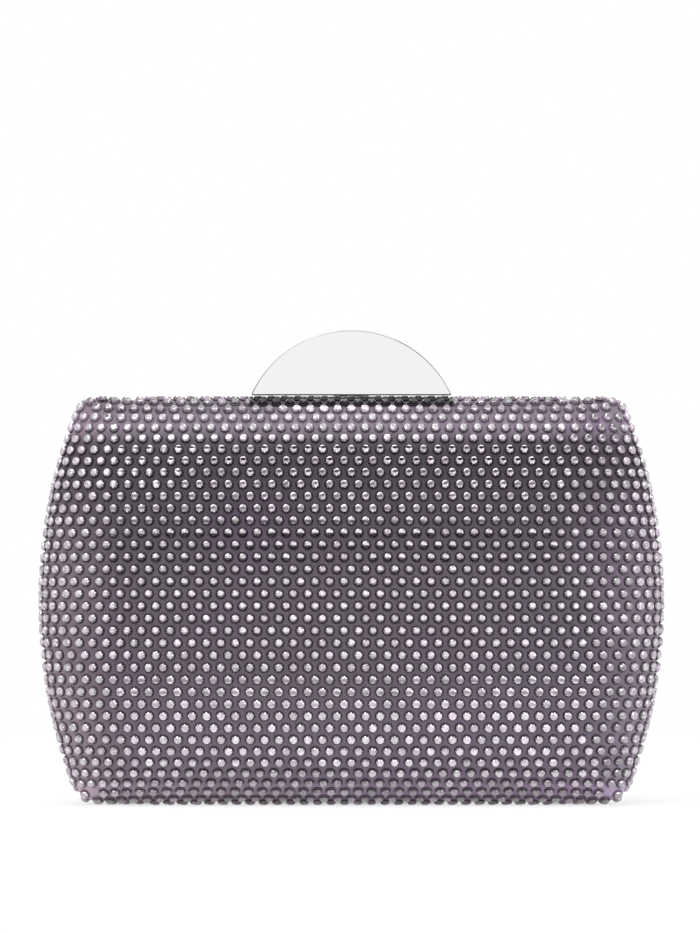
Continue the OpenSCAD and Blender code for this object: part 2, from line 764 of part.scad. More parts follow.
clasp_plate_studs();
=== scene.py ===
"""Crystal evening clutch: the looks of the case, its crystals, lining and clasp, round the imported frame.

Sizes are in millimetres until a mesh is made, and X, Y and Z are those of the frame. Only the places in a
finish, which its material reads, are in metres.
"""

from __future__ import annotations

import json
import logging
import math
from dataclasses import dataclass, field
from enum import Enum
from typing import Any, Sequence

import bmesh
import bpy
import numpy as np
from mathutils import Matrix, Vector

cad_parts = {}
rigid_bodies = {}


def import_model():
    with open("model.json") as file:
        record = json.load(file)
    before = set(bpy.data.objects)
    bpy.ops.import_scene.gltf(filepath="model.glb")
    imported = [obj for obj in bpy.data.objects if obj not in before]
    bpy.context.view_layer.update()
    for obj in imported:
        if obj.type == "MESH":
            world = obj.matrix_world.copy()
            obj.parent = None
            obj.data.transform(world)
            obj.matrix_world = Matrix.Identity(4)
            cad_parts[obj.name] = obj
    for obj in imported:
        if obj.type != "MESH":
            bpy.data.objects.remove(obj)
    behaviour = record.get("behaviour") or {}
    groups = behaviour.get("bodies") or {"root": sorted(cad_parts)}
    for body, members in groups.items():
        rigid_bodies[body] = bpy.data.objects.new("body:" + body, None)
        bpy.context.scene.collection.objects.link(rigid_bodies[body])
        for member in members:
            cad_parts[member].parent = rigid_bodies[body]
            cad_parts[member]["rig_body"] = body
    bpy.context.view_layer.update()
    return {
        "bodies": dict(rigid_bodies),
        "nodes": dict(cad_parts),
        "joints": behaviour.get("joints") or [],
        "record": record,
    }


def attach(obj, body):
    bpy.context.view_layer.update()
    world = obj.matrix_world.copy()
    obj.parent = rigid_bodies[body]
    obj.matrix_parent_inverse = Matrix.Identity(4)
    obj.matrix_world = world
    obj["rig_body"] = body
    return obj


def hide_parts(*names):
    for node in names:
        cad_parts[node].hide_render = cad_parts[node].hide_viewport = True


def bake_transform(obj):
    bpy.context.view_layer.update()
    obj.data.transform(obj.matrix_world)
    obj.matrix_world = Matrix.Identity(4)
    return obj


LOG = logging.getLogger("clutch")
MM = 0.001
Points = np.ndarray
Triple = tuple[float, float, float]
Colour = Triple
# A span holds two limits of Value.step. A band holds all four, or the four of Value.within
Span = tuple[float, float]
Band = tuple[float, float, float, float]
Stops = Sequence[tuple[float, float]]


class Side(Enum):
    """The two halves of the case, with the way that each one bulges."""

    FRONT = -1
    REAR = 1

    @property
    def word(self) -> str:
        """The half's name at the start of its pieces' names."""
        return self.name.lower()

    @property
    def body(self) -> str:
        """The CAD body that the half's pieces ride on."""
        return f"{self.word}_half"


class Ring(Enum):
    """The bands of facets on a crystal, from the middle outwards."""

    CORE = 0.0
    TABLE = 1.0
    CROWN = 2.0
    GIRDLE = 3.0


def to_linear(colour: Colour) -> tuple[float, float, float, float]:
    """Turns a colour as it is seen on a screen into the shader's linear one.

    Args:
        colour: Red, green and blue from 0 to 1.

    Returns:
        The linear colour with full alpha.
    """
    parts = [c / 12.92 if c <= 0.04045 else ((c + 0.055) / 1.055) ** 2.4 for c in colour]
    return (parts[0], parts[1], parts[2], 1.0)


class Value:
    """A shader's output socket that takes part in arithmetic."""

    def __init__(self, graph: "Graph", socket: bpy.types.NodeSocket) -> None:
        """Wraps a socket of the graph."""
        self.graph = graph
        self.socket = socket

    def _math(self, operation: str, *others: Any) -> "Value":
        """Adds one Math node on this value and the others."""
        return self.graph.node("ShaderNodeMath", {"operation": operation}, dict(enumerate((self, *others))))

    def __add__(self, other: Any) -> "Value":
        """Sum."""
        return self._math("ADD", other)

    def __radd__(self, other: Any) -> "Value":
        """Sum with a number before."""
        return self._math("ADD", other)

    def __sub__(self, other: Any) -> "Value":
        """Difference."""
        return self._math("SUBTRACT", other)

    def __rsub__(self, other: Any) -> "Value":
        """Difference from a number before."""
        return self.graph.node("ShaderNodeMath", {"operation": "SUBTRACT"}, {0: other, 1: self})

    def __mul__(self, other: Any) -> "Value":
        """Product."""
        return self._math("MULTIPLY", other)

    def __truediv__(self, other: Any) -> "Value":
        """Quotient."""
        return self._math("DIVIDE", other)

    def __pow__(self, other: Any) -> "Value":
        """Power."""
        return self._math("POWER", other)

    def __abs__(self) -> "Value":
        """Size without sign."""
        return self._math("ABSOLUTE")

    def sine(self) -> "Value":
        """Sine, in radians."""
        return self._math("SINE")

    def wave(self, rate: float) -> "Value":
        """A wave from 0 to 1, at a rate in radians for each unit of this value."""
        return (self * rate).sine() * 0.5 + 0.5

    def most(self, other: Any) -> "Value":
        """The larger of the two."""
        return self._math("MAXIMUM", other)

    def step(self, low: float, high: float, start: float = 0.0, end: float = 1.0) -> "Value":
        """Eases from start to end while this value goes from low to high."""
        settings = {"interpolation_type": "SMOOTHSTEP"}
        values = {"Value": self, "From Min": low, "From Max": high, "To Min": start, "To Max": end}
        return self.graph.node("ShaderNodeMapRange", settings, values)

    def within(self, start: float, full: float, fading: float, end: float) -> "Value":
        """Eases from 0 to 1 between the first two values, and back to 0 between the last two."""
        return self.step(start, full) * self.step(end, fading)


class Graph:
    """The node tree of a material, or of a room's light, built from expressions."""

    def __init__(self, name: str, room: bool = False) -> None:
        """Starts an empty material of that name, or an empty room."""
        self.owner = (bpy.data.worlds if room else bpy.data.materials).new(name)
        self.owner.use_nodes = True
        self.output = "ShaderNodeOutputWorld" if room else "ShaderNodeOutputMaterial"
        self.tree = self.owner.node_tree
        self.tree.nodes.clear()

    def node(
        self,
        kind: str,
        settings: dict[str, Any] | None = None,
        values: dict[Any, Any] | None = None,
        out: Any = None,
    ) -> Value:
        """Adds a node.

        Args:
            kind: Its type.
            settings: Its properties, with a ramp's stops under "stops".
            values: Its sockets' values or links, by name or number.
            out: The output that is wanted, by name or number. The first enabled one if left out.

        Returns:
            The output.
        """
        made = self.tree.nodes.new(kind)
        for key, value in (settings or {}).items():
            if key == "stops":
                self._stops(made.color_ramp, value)
            else:
                setattr(made, key, value)
        for key, value in (values or {}).items():
            socket = made.inputs[key]
            if isinstance(value, Value):
                self.tree.links.new(value.socket, socket)
            else:
                socket.default_value = value
        if out is not None:
            return Value(self, made.outputs[out])
        usable = [s for s in made.outputs if s.enabled]
        return Value(self, usable[0]) if usable else Value(self, None)

    @staticmethod
    def _stops(ramp: bpy.types.ColorRamp, stops: Sequence[tuple[float, Any]]) -> None:
        """Sets a ramp's stops, given as place and colour."""
        while len(ramp.elements) < len(stops):
            ramp.elements.new(1.0)
        for element, (place, colour) in zip(ramp.elements, stops):
            element.position = place
            element.color = colour

    def place(self) -> Value:
        """The Object coordinates."""
        return self.node("ShaderNodeTexCoord", out="Object")

    def uv(self, name: str) -> Value:
        """A named UV map."""
        return self.node("ShaderNodeUVMap", {"uv_map": name})

    def attribute(self, name: str, out: str = "Fac") -> Value:
        """A named attribute of the mesh."""
        return self.node("ShaderNodeAttribute", {"attribute_name": name}, out=out)

    def part(self, vector: Value, axis: int) -> Value:
        """One component of a vector."""
        return self.node("ShaderNodeSeparateXYZ", values={0: vector}, out=axis)

    def ray(self, kind: str) -> Value:
        """Whether the light path is of a kind."""
        return self.node("ShaderNodeLightPath", out=f"Is {kind} Ray")

    def noise(self, where: Value, scale: float, detail: float = 3.0, rough: float = 0.5) -> Value:
        """A noise from 0 to 1 at a scale per unit of where it is."""
        values = {"Vector": where, "Scale": scale, "Detail": detail, "Roughness": rough}
        return self.node("ShaderNodeTexNoise", values=values, out=0)

    def streaks(self, where: Value, scales: Triple, rough: float = 0.5) -> Value:
        """A noise from 0 to 1 with a scale of its own along each axis."""
        return self.noise(self.node("ShaderNodeMapping", values={0: where, 3: scales}), 1.0, 2.0, rough)

    def ramp(self, factor: Value, stops: Sequence[tuple[float, Any]]) -> Value:
        """A colour from a ramp."""
        return self.node("ShaderNodeValToRGB", {"stops": stops}, {0: factor}, out=0)

    def curve(self, value: Value, stops: Stops) -> Value:
        """A level that follows a value from -1 to 1 through stops."""
        shades = [((place + 1) / 2, (level, level, level, 1.0)) for place, level in stops]
        return self.ramp(value * 0.5 + 0.5, shades)

    def mix(self, factor: Any, first: Any, second: Any, kind: str = "MIX") -> Value:
        """Mixes two colours."""
        settings = {"data_type": "RGBA", "blend_type": kind}
        return self.node("ShaderNodeMix", settings, {0: factor, 6: first, 7: second}, out=2)

    def shaded(self, colour: Any, level: Value) -> Value:
        """A colour, made darker or lighter by a level."""
        grey = self.node("ShaderNodeCombineXYZ", values={0: level, 1: level, 2: level})
        return self.mix(1.0, colour, grey, "MULTIPLY")

    def bump(self, height: Value, depth: float, strength: float = 1.0) -> Value:
        """A normal from a height from 0 to 1 and a real depth in metres."""
        values = {"Height": height, "Distance": depth, "Strength": strength}
        return self.node("ShaderNodeBump", values=values)

    def surface(self, **sockets: Any) -> bpy.types.Material:
        """Ends the material in a Principled shader.

        Args:
            sockets: Values or links by socket name, with underscores for spaces.

        Returns:
            The material.
        """
        values = {key.replace("_", " "): value for key, value in sockets.items()}
        shader = self.node("ShaderNodeBsdfPrincipled", values=values, out=0)
        return self.finish(shader)

    def finish(self, shader: Value) -> bpy.types.ID:
        """Sends a shader to the output."""
        self.node(self.output, values={"Surface": shader})
        return self.owner


# Where painted light and shade change over the case, in metres: painted light towards its sides, with how
# much, and the painted shadow by the plate
SIDE_LIGHT_BAND: Band = (0.060, 0.076, 1.0, 1.65)
PLATE_ACROSS: Span = (0.0272, 0.0264)
PLATE_ALONG: Band = (-0.0135, -0.0125, 0.0002, 0.0006)
PLATE_UP: Span = (0.1041, 0.1046)


def beside(g: Graph, place: Value) -> Value:
    """Painted light: how much lighter the case's two sides are painted than its face."""
    return abs(g.part(place, 0)).step(*SIDE_LIGHT_BAND)


def under_plate(g: Graph, place: Value) -> Value:
    """The strip of the front half under the clasp's plate, where the plate's shadow is painted dark."""
    x, y, z = (g.part(place, k) for k in range(3))
    return abs(x).step(*PLATE_ACROSS) * y.within(*PLATE_ALONG) * z.step(*PLATE_UP)


# Painted shade by height: height in millimetres and level, with the height and level that the ramp's ends
# stand for
SHADE_TOP, SHADE_MOST = 110.0, 3.0
PAINTED_HEIGHT_SHADES: Stops = (
    (0.0, 3.0), (3.0, 3.0), (5.0, 2.4), (6.5, 1.75), (8.0, 1.5), (12.0, 1.3), (18.0, 1.17),
    (25.0, 1.06), (31.0, 0.95), (36.0, 0.85), (46.0, 0.83), (56.0, 0.83), (61.0, 0.79), (68.0, 0.68),
    (75.0, 0.52), (82.0, 0.39), (88.0, 0.275), (92.0, 0.265), (94.5, 0.36), (97.0, 0.83), (99.0, 1.3),
    (101.0, 1.25), (103.0, 1.0),
)


def height_shade(g: Graph, place: Value) -> Value:
    """Painted shade and light by height: how light the face is painted at each height, darkest under the
    shoulder.
    """
    shades = [(z / SHADE_TOP, (*[level / SHADE_MOST] * 3, 1.0)) for z, level in PAINTED_HEIGHT_SHADES]
    return g.ramp(g.part(place, 2) * (1.0 / MM / SHADE_TOP), shades) * SHADE_MOST


@dataclass(frozen=True)
class MeshCloth:
    """Mauve-grey woven cloth with a fine lustre, clouded with plum and slate, and painted shade in its
    colour: by height, lighter towards the sides, and the plate's painted shadow.
    """

    thread: float = 0.42
    ground: Colour = (0.395, 0.355, 0.40)
    plum: Colour = (0.405, 0.34, 0.42)
    slate: Colour = (0.378, 0.345, 0.392)
    rose: Colour = (0.42, 0.37, 0.385)
    rose_end: Band = (-0.05, -0.078, 0.0, 0.6)
    slub_scale: float = 2.4
    slub_mask: Span = (0.2, 0.8)
    slub_tone: Span = (0.94, 1.06)
    weave_tone: Span = (0.9, 1.06)
    cloud_scale: float = 26.0
    plum_mask: Span = (0.42, 0.72)
    drift_scale: float = 17.0
    slate_mask: Span = (0.45, 0.75)
    # Where the plate's painted shadow falls on the front slope, and how dark it is
    front_slope: Span = (-0.0075, -0.0085)
    plate_dark: float = 0.85
    rough: Span = (0.36, 0.5)
    relief: float = 0.05
    relief_strength: float = 0.6
    weave_share: float = 0.7
    sheen: float = 0.12
    gloss: float = 0.2

    def build(self) -> bpy.types.Material:
        """Makes the material, which reads the case's own map in millimetres."""
        g = Graph("mauve_mesh_cloth")
        uv, place = g.uv("arc"), g.place()
        across, along = ((g.part(uv, k) * (2 * math.pi / self.thread)).sine() for k in (0, 1))
        weave = (across * along) * 0.5 + 0.5
        slub = g.noise(uv, self.slub_scale, 2.0)
        clouds = g.noise(place, self.cloud_scale, 2.0, 0.45)
        drift = g.noise(place, self.drift_scale, 1.0)
        colour = g.mix(clouds.step(*self.plum_mask), to_linear(self.ground), to_linear(self.plum))
        colour = g.mix(drift.step(*self.slate_mask), colour, to_linear(self.slate))
        colour = g.mix(g.part(place, 0).step(*self.rose_end), colour, to_linear(self.rose))
        tone = weave.step(0.0, 1.0, *self.weave_tone) * slub.step(*self.slub_mask, *self.slub_tone)
        # Painted shade: the weave's tone is darkened by height and lightened towards the sides, with the
        # plate's painted shadow on the front slope
        in_front = g.part(place, 1).step(*self.front_slope)
        tone = tone * height_shade(g, place) * (1.0 - under_plate(g, place) * in_front * self.plate_dark)
        colour, rough = g.shaded(colour, tone * beside(g, place)), slub.step(*self.slub_mask, *self.rough)
        height = weave * self.weave_share + slub * (1.0 - self.weave_share)
        return g.surface(
            Base_Color=colour,
            Roughness=rough,
            Normal=g.bump(height, self.relief * MM, self.relief_strength),
            Sheen_Weight=self.sheen,
            Specular_IOR_Level=self.gloss,
        )


@dataclass(frozen=True)
class DarkSpot:
    """A painted reflection of the room's dark middle in a crystal: black inside and greyer to the sides.

    Its sizes and places are shares of a crystal's radius. The level, the rise and the sizes follow how far
    the crystal is turned up, from -1 for straight down to 1 for straight up.
    """

    tall: Band = (0.13, 0.07, 0.32, 0.42)
    slim: Band = (0.12, 0.08, 0.5, 0.8)
    broad: Band = (-0.07, 0.0, 0.5, 1.05)
    core_edge: Span = (1.25, 0.6)
    haze_edge: Span = (1.3, 0.4)
    haze: float = 0.76
    stray_up: float = 0.2
    stray_aside: float = 0.18
    aside_rate: float = 47.0
    chance: Band = (0.0, 0.4, 0.7, 1.0)
    level: Stops = (
        (-0.4, 0.0), (-0.2, 0.05), (-0.14, 0.55), (-0.1, 0.55), (-0.07, 0.2), (-0.03, 0.35), (0.0, 0.5),
        (0.03, 0.85), (0.07, 0.95), (0.1, 0.8), (0.13, 0.65), (0.2, 0.7), (0.25, 0.85), (0.31, 1.0),
        (0.37, 1.0), (0.41, 0.8), (0.44, 0.65), (0.5, 0.2), (0.55, 0.0),
    )
    rise: Stops = (
        (-0.2, 0.45), (-0.1, 0.45), (-0.07, 0.3), (-0.03, 0.15), (0.0, 0.14), (0.03, 0.2), (0.07, 0.21),
        (0.1, 0.32), (0.13, 0.45), (0.2, 0.48), (0.25, 0.485), (0.31, 0.5), (0.37, 0.52), (0.41, 0.64),
        (0.44, 0.8),
    )

    def shade(self, g: Graph, up: Value, stone: Value, luck: Value, u: Value, v: Value) -> Value:
        """How dark the spot is.

        Args:
            g: The material's graph.
            up: How far the crystal is turned up.
            stone: The crystal's own number.
            luck: Another number of its own, from 0 to 1.
            u: Place across the crystal.
            v: Place up the crystal.

        Returns:
            The share of the light that it takes.
        """
        low = g.curve(up, self.rise) * 2.0 - 1.0 + (luck - 0.5) * self.stray_up
        aside = u - (stone * self.aside_rate).sine() * self.stray_aside
        drop = (v - low) / up.step(*self.tall)
        near, far = aside / up.step(*self.slim), aside / up.step(*self.broad)
        core = (near * near + drop * drop).step(*self.core_edge)
        wide = (far * far + drop * drop).step(*self.haze_edge) * self.haze
        return core.most(wide) * g.curve(up, self.level) * luck.step(*self.chance)


@dataclass(frozen=True)
class CutGlass:
    """Foil-backed cut crystal whose facets carry painted reflections: white, grey or black by where they lie
    and how the case is turned.

    The curves and bands follow how far a crystal is turned up, from -1 for straight down to 1 for straight
    up, apart from those of the left side, the painted glare and the painted strip of light, which follow its
    place. The crest and the foot are the painted shade and the painted light at a crystal's upper and lower
    edge. The calm levels are the painted reflections of the case's two sides, which see a pale room.
    """

    pink: Colour = (0.99, 0.93, 0.985)
    plain: Colour = (0.965, 0.94, 0.975)
    radius: float = 1.2
    metal: float = 0.72
    rough: float = 0.14
    coat: float = 0.08
    coat_rough: float = 0.03
    gloss: float = 0.3
    core_ring: Span = (0.4, 0.6)
    table_ring: Span = (1.4, 1.6)
    busy: Band = (-0.14, -0.04, 0.2, 0.34)
    busy_dim: float = 0.2
    high: Band = (0.36, 0.42, 0.44, 0.5)
    high_dim: float = 0.3
    upright: Span = (0.92, 0.96)
    core_spread: float = 0.35
    facet_spread: float = 0.6
    busy_spread: float = 0.5
    steep: Band = (0.6, 0.7, 0.0, 0.8)
    crest_from: float = 0.2
    foot_from: float = -0.4
    foot_by: float = 1.3
    luck_rate: float = 83.0
    tint_rate: float = 129.0
    luck_spread: float = 0.4
    less_luck: Band = (0.36, 0.45, 0.0, 0.2)
    more_luck: Band = (0.72, 0.8, 0.0, 0.3)
    left_side: Band = (-0.01, 0.01, 1.0, 0.0)
    glare_across: Span = (0.0, 0.02)
    glare_up: Span = (0.045, 0.06)
    glare_calm: float = 0.1
    calm_from: Span = (0.2, 0.32)
    calm_level: float = 0.38
    calm_left: float = 0.1
    calm_core_left: float = 0.14
    calm_core_right: float = 0.12
    calm_glare_up: Span = (0.045, 0.065)
    calm_tone: float = 0.16
    calm_luck: float = 0.12
    calm_spot: float = 0.7
    rim_from: Span = (0.46, 0.6)
    rim_level: float = 0.52
    rim_tone: float = 0.5
    dull: float = 0.35
    dull_up: Span = (0.66, 0.76)
    dull_down: Span = (-0.66, -0.8)
    spot: DarkSpot = DarkSpot()
    spot_most: float = 0.98
    narrowed: Sequence[tuple[Band, float]] = (
        ((-0.14, -0.08, 0.4, 0.44), 0.35),
        ((0.0, 0.05, 0.38, 0.42), 0.3),
    )
    # The clasp plate's painted strip of light on the next row, and its painted shadow
    shone_across: Span = (0.022, 0.013)
    shone_along: Span = (0.0, -0.001)
    shone_up: Band = (0.103, 0.1036, 0.105, 0.1056)
    shone_by: float = 1.3
    plate_dark: float = 0.95
    open_table: float = 0.8
    middle: Stops = (
        (-1.0, 0.38), (-0.75, 0.42), (-0.62, 0.50), (-0.48, 0.66), (-0.37, 0.72), (-0.2, 0.70),
        (-0.1, 0.66), (-0.05, 0.70), (-0.03, 0.80), (0.0, 0.84), (0.07, 0.76), (0.13, 0.62),
        (0.2, 0.62), (0.25, 0.60), (0.31, 0.60), (0.37, 0.60), (0.44, 0.50), (0.53, 0.16), (0.63, 0.20),
        (0.7, 0.13), (0.83, 0.21), (1.0, 0.28),
    )
    facets: Stops = (
        (-1.0, 0.42), (-0.75, 0.46), (-0.62, 0.48), (-0.48, 0.62), (-0.37, 0.66), (-0.25, 0.66),
        (-0.11, 0.66), (-0.05, 0.58), (0.0, 0.44), (0.05, 0.48), (0.07, 0.54), (0.17, 0.60),
        (0.25, 0.60), (0.31, 0.60), (0.37, 0.60), (0.44, 0.46), (0.53, 0.40), (0.63, 0.42), (0.7, 0.29),
        (0.83, 0.25), (1.0, 0.28),
    )
    crest: Stops = (
        (-0.66, 1.0), (-0.5, 1.0), (-0.42, 0.5), (-0.33, 0.2), (-0.12, 0.1), (0.0, 0.1), (0.12, 0.0),
        (0.2, 0.5), (0.25, 1.0), (0.31, 1.0), (0.37, 0.6), (0.42, 1.0), (0.5, 0.9), (0.6, 0.6),
        (0.7, 0.0),
    )
    foot: Stops = (
        (-0.5, 0.0), (-0.4, 0.5), (-0.33, 0.9), (-0.06, 1.0), (-0.02, 0.0), (0.1, 0.0), (0.15, 0.9),
        (0.38, 0.9), (0.45, 0.9), (0.6, 0.9), (0.66, 0.0),
    )

    def lit(self, g: Graph, up: Value, ring: Value, tone: Value, u: Value, v: Value) -> Value:
        """The painted reflection level of a facet, with its random tone, without the painted dark spot."""
        inner = ring.step(*self.core_ring, 1.0, 0.0)
        busy, high = up.within(*self.busy), up.within(*self.high)
        spread = busy * self.busy_spread + self.facet_spread + up.step(*self.steep)
        outer = g.curve(up, self.facets) * (1.0 + (tone - 0.5) * spread)
        outer = outer * (1.0 - ring.step(*self.table_ring) * (busy * self.busy_dim + high * self.high_dim))
        first, second = (up.within(*band) * share for band, share in self.narrowed)
        middle = g.curve(up, self.middle) * (1.0 + (tone - 0.5) * self.core_spread)
        level = (outer + (middle - outer) * inner) * (1.0 - abs(u) * (first + second))
        level = level * (1.0 - (v - self.crest_from).most(0.0) * g.curve(up, self.crest))
        return level * (1.0 + (self.foot_from - v).most(0.0) * g.curve(up, self.foot) * self.foot_by)

    def turned_away(self, g: Graph, place: Value, ring: Value, tone: Value, luck: Value) -> Value:
        """The painted reflection level of a facet on the case's sides, which see a calm pale room, paler on
        the left.
        """
        left = g.part(place, 0).step(*self.left_side)
        inner = ring.step(*self.core_ring, 1.0, 0.0)
        glare = g.part(place, 2).step(*self.calm_glare_up) * (1.0 - left)
        level = left * self.calm_left + self.calm_level
        level = level + inner * (left * self.calm_core_left - glare * self.calm_core_right)
        return level + (tone - 0.5) * self.calm_tone + (luck - 0.5) * self.calm_luck

    def by_clasp(self, g: Graph, place: Value, centre: Value, up: Value, ring: Value) -> Value:
        """The clasp plate's painted light and shade: a painted shadow on one strip and a painted strip of
        light on the next row.
        """
        x, y, z = (g.part(centre, k) for k in range(3))
        shone = abs(x).step(*self.shone_across) * y.step(*self.shone_along) * z.within(*self.shone_up)
        open_table = up.step(*self.upright) * (1.0 - ring.step(*self.table_ring))
        dark = under_plate(g, place) * (1.0 - open_table * self.open_table) * self.plate_dark
        return (1.0 + shone * self.shone_by) * (1.0 - dark)

    def build(self) -> bpy.types.Material:
        """Makes the material, which reads what is stored on the facets."""
        g = Graph("cut_crystal")
        tone, ring, stone = (g.attribute(name) for name in ("tone", "ring", "stone"))
        axis, centre, place = g.attribute("axis", "Vector"), g.attribute("centre", "Vector"), g.place()
        off = g.node("ShaderNodeVectorMath", {"operation": "SUBTRACT"}, {0: place, 1: centre})
        u, v = (g.part(off, k) / (self.radius * MM) for k in (0, 2))
        luck = stone.wave(self.luck_rate)
        sideways, up = abs(g.part(axis, 0)), g.part(axis, 2)
        spread = self.luck_spread - up.step(*self.less_luck) + up.step(*self.more_luck)
        # Painted reflections: each facet's level by how its crystal is turned, with random tone and luck
        lit = self.lit(g, up, ring, tone, u, v) * (1.0 + (luck - 0.5) * spread)
        # Painted glare, and on the case's sides the calm painted reflection of a pale room
        glare = g.part(place, 0).step(*self.glare_across) * g.part(place, 2).step(*self.glare_up)
        calm = (sideways + glare * self.glare_calm).step(*self.calm_from)
        lit = lit + (self.turned_away(g, place, ring, tone, luck) - lit) * calm
        # The painted dark reflection spot
        spot = self.spot.shade(g, up, stone, luck, u, v)
        lit = lit * (1.0 - spot * (1.0 - calm * self.calm_spot) * self.spot_most)
        # Crystals seen edgewise take a grey painted reflection, and the clasp's plate adds its painted shadow
        # and painted strip of light
        rim = sideways.step(*self.rim_from)
        rim_reflection = (tone - 0.5) * self.rim_tone + self.rim_level
        lit = (lit + (rim_reflection - lit) * rim) * self.by_clasp(g, place, centre, up, ring)
        tint = g.mix(stone.wave(self.tint_rate), to_linear(self.pink), to_linear(self.plain))
        edgewise = rim.most(up.step(*self.dull_up)).most(up.step(*self.dull_down))
        return g.surface(
            Base_Color=g.shaded(tint, lit),
            Metallic=self.metal - edgewise * self.dull,
            Roughness=self.rough,
            Coat_Weight=self.coat,
            Coat_Roughness=self.coat_rough,
            Specular_IOR_Level=self.gloss,
        )


@dataclass(frozen=True)
class CupMetal:
    """Dark pressed metal of the cups, with painted shade and light in its colour."""

    ground: Colour = (0.27, 0.235, 0.27)
    edge: Colour = (0.38, 0.345, 0.38)
    rub_scale: float = 900.0
    worn_rub: Span = (0.55, 0.75)
    worn_stone: Span = (0.2, 1.0)
    rough: Band = (0.2, 0.8, 0.3, 0.5)
    evened: float = 0.73
    level: float = 0.82
    # Painted light at the top and foot rows, and the plate's painted shadow
    top_lift: Band = (0.096, 0.100, 1.0, 2.4)
    foot_lift: Band = (0.013, 0.006, 1.0, 1.4)
    plate_dark: float = 0.8
    metal: float = 0.7

    def build(self) -> bpy.types.Material:
        """Makes the material, with paler rims, and painted shade and light: by height, lighter at the top and
        foot rows and towards the sides, and the plate's painted shadow.
        """
        g = Graph("gunmetal_cups")
        stone, place = g.attribute("stone"), g.place()
        rub = g.noise(place, self.rub_scale, 2.0)
        worn = rub.step(*self.worn_rub) * stone.step(*self.worn_stone)
        colour = g.mix(worn, to_linear(self.ground), to_linear(self.edge))
        z = g.part(place, 2)
        # Painted shade and light by height, at the top and foot rows and towards the sides, with the plate's
        # painted shadow
        shade = height_shade(g, place) ** self.evened * self.level
        shade = shade * z.step(*self.top_lift) * z.step(*self.foot_lift) * beside(g, place)
        shade = shade * (1.0 - under_plate(g, place) * self.plate_dark)
        rough = rub.step(*self.rough)
        return g.surface(Base_Color=g.shaded(colour, shade), Metallic=self.metal, Roughness=rough)


@dataclass(frozen=True)
class Plating:
    """Bright plating of the frames, the clasp's works and the lugs; the lever's can take a painted shadow on
    the clasp's neck.
    """

    name: str = "bright_plating"
    colour: Colour = (0.86, 0.86, 0.875)
    haze_scale: float = 60.0
    rough: Band = (0.3, 0.7, 0.12, 0.2)
    worn: float = 0.94
    worn_mask: Span = (0.35, 0.75)
    scratch: float = 0.35
    hair_scales: Triple = (40.0, 900.0, 2600.0)
    hair_depth: float = 0.004
    # Whether the plate's painted shadow falls on the clasp's neck, at which heights, and how dark
    shaded: bool = False
    neck_up: Band = (0.1036, 0.1042, 0.1082, 0.1084)
    neck_dark: float = 0.95

    def build(self) -> bpy.types.Material:
        """Makes the material, with haze and hairline scratches, and, if shaded, the plate's painted shadow on
        the clasp's neck.
        """
        g = Graph(self.name)
        place = g.place()
        haze = g.noise(place, self.haze_scale)
        worn = to_linear(tuple(c * self.worn for c in self.colour))
        colour = g.mix(haze.step(*self.worn_mask), to_linear(self.colour), worn)
        # The plate's painted shadow on the lever's neck
        if self.shaded:
            colour = g.shaded(colour, 1.0 - g.part(place, 2).within(*self.neck_up) * self.neck_dark)
        rough = haze.step(*self.rough)
        normal = g.bump(g.streaks(place, self.hair_scales, 0.7), self.hair_depth * MM, self.scratch)
        return g.surface(Base_Color=colour, Metallic=1.0, Roughness=rough, Normal=normal)


@dataclass(frozen=True)
class MirrorPlate:
    """Mirror of the half-moon plate, with a darker painted reflection on its bevelled edge and painted shade
    on the bevel below.
    """

    face: Colour = (0.95, 0.95, 0.953)
    # Painted colours: the bevel's darker painted reflection, and the painted shade of the bevel below
    edge: Colour = (0.52, 0.51, 0.52)
    underside: Colour = (0.1, 0.1, 0.1)
    underside_up: Span = (0.1088, 0.1083)
    underside_dark: float = 0.6
    smear_scale: float = 45.0
    rough: Band = (0.35, 0.75, 0.02, 0.06)
    edge_rough: float = 0.1
    ripple_scale: float = 14.0
    ripple_depth: float = 0.02
    ripple: float = 0.15

    def build(self) -> bpy.types.Material:
        """Makes the material, which reads where the bevel is."""
        g = Graph("mirror_plate")
        place, edge = g.place(), g.attribute("edge")
        smear = g.noise(place, self.smear_scale)
        # The bevel takes a darker painted reflection, and the bevel below a painted shade
        colour = g.mix(edge, to_linear(self.face), to_linear(self.edge))
        below = g.part(place, 2).step(*self.underside_up) * edge
        colour = g.mix(below * self.underside_dark, colour, to_linear(self.underside))
        rough = smear.step(*self.rough) + edge * self.edge_rough
        normal = g.bump(g.noise(place, self.ripple_scale, 1.0), self.ripple_depth * MM, self.ripple)
        return g.surface(Base_Color=colour, Metallic=1.0, Roughness=rough, Normal=normal)


@dataclass(frozen=True)
class Steel:
    """Plain bright steel of hinges, pins, rivets and springs."""

    colour: Colour = (0.66, 0.67, 0.69)
    tarnish: Colour = (0.5, 0.48, 0.47)
    stain_scale: float = 220.0
    stained: Band = (0.5, 0.8, 0.0, 0.5)
    brush_scales: Triple = (60.0, 3000.0, 3000.0)
    brush_depth: float = 0.01
    brush: float = 0.4
    rough: Band = (0.3, 0.7, 0.24, 0.38)

    def build(self) -> bpy.types.Material:
        """Makes the material, with brush lines along X and a little tarnish."""
        g = Graph("bright_steel")
        place = g.place()
        lines, stain = g.streaks(place, self.brush_scales), g.noise(place, self.stain_scale)
        colour = g.mix(stain.step(*self.stained), to_linear(self.colour), to_linear(self.tarnish))
        rough = lines.step(*self.rough)
        normal = g.bump(lines, self.brush_depth * MM, self.brush)
        return g.surface(Base_Color=colour, Metallic=1.0, Roughness=rough, Normal=normal)


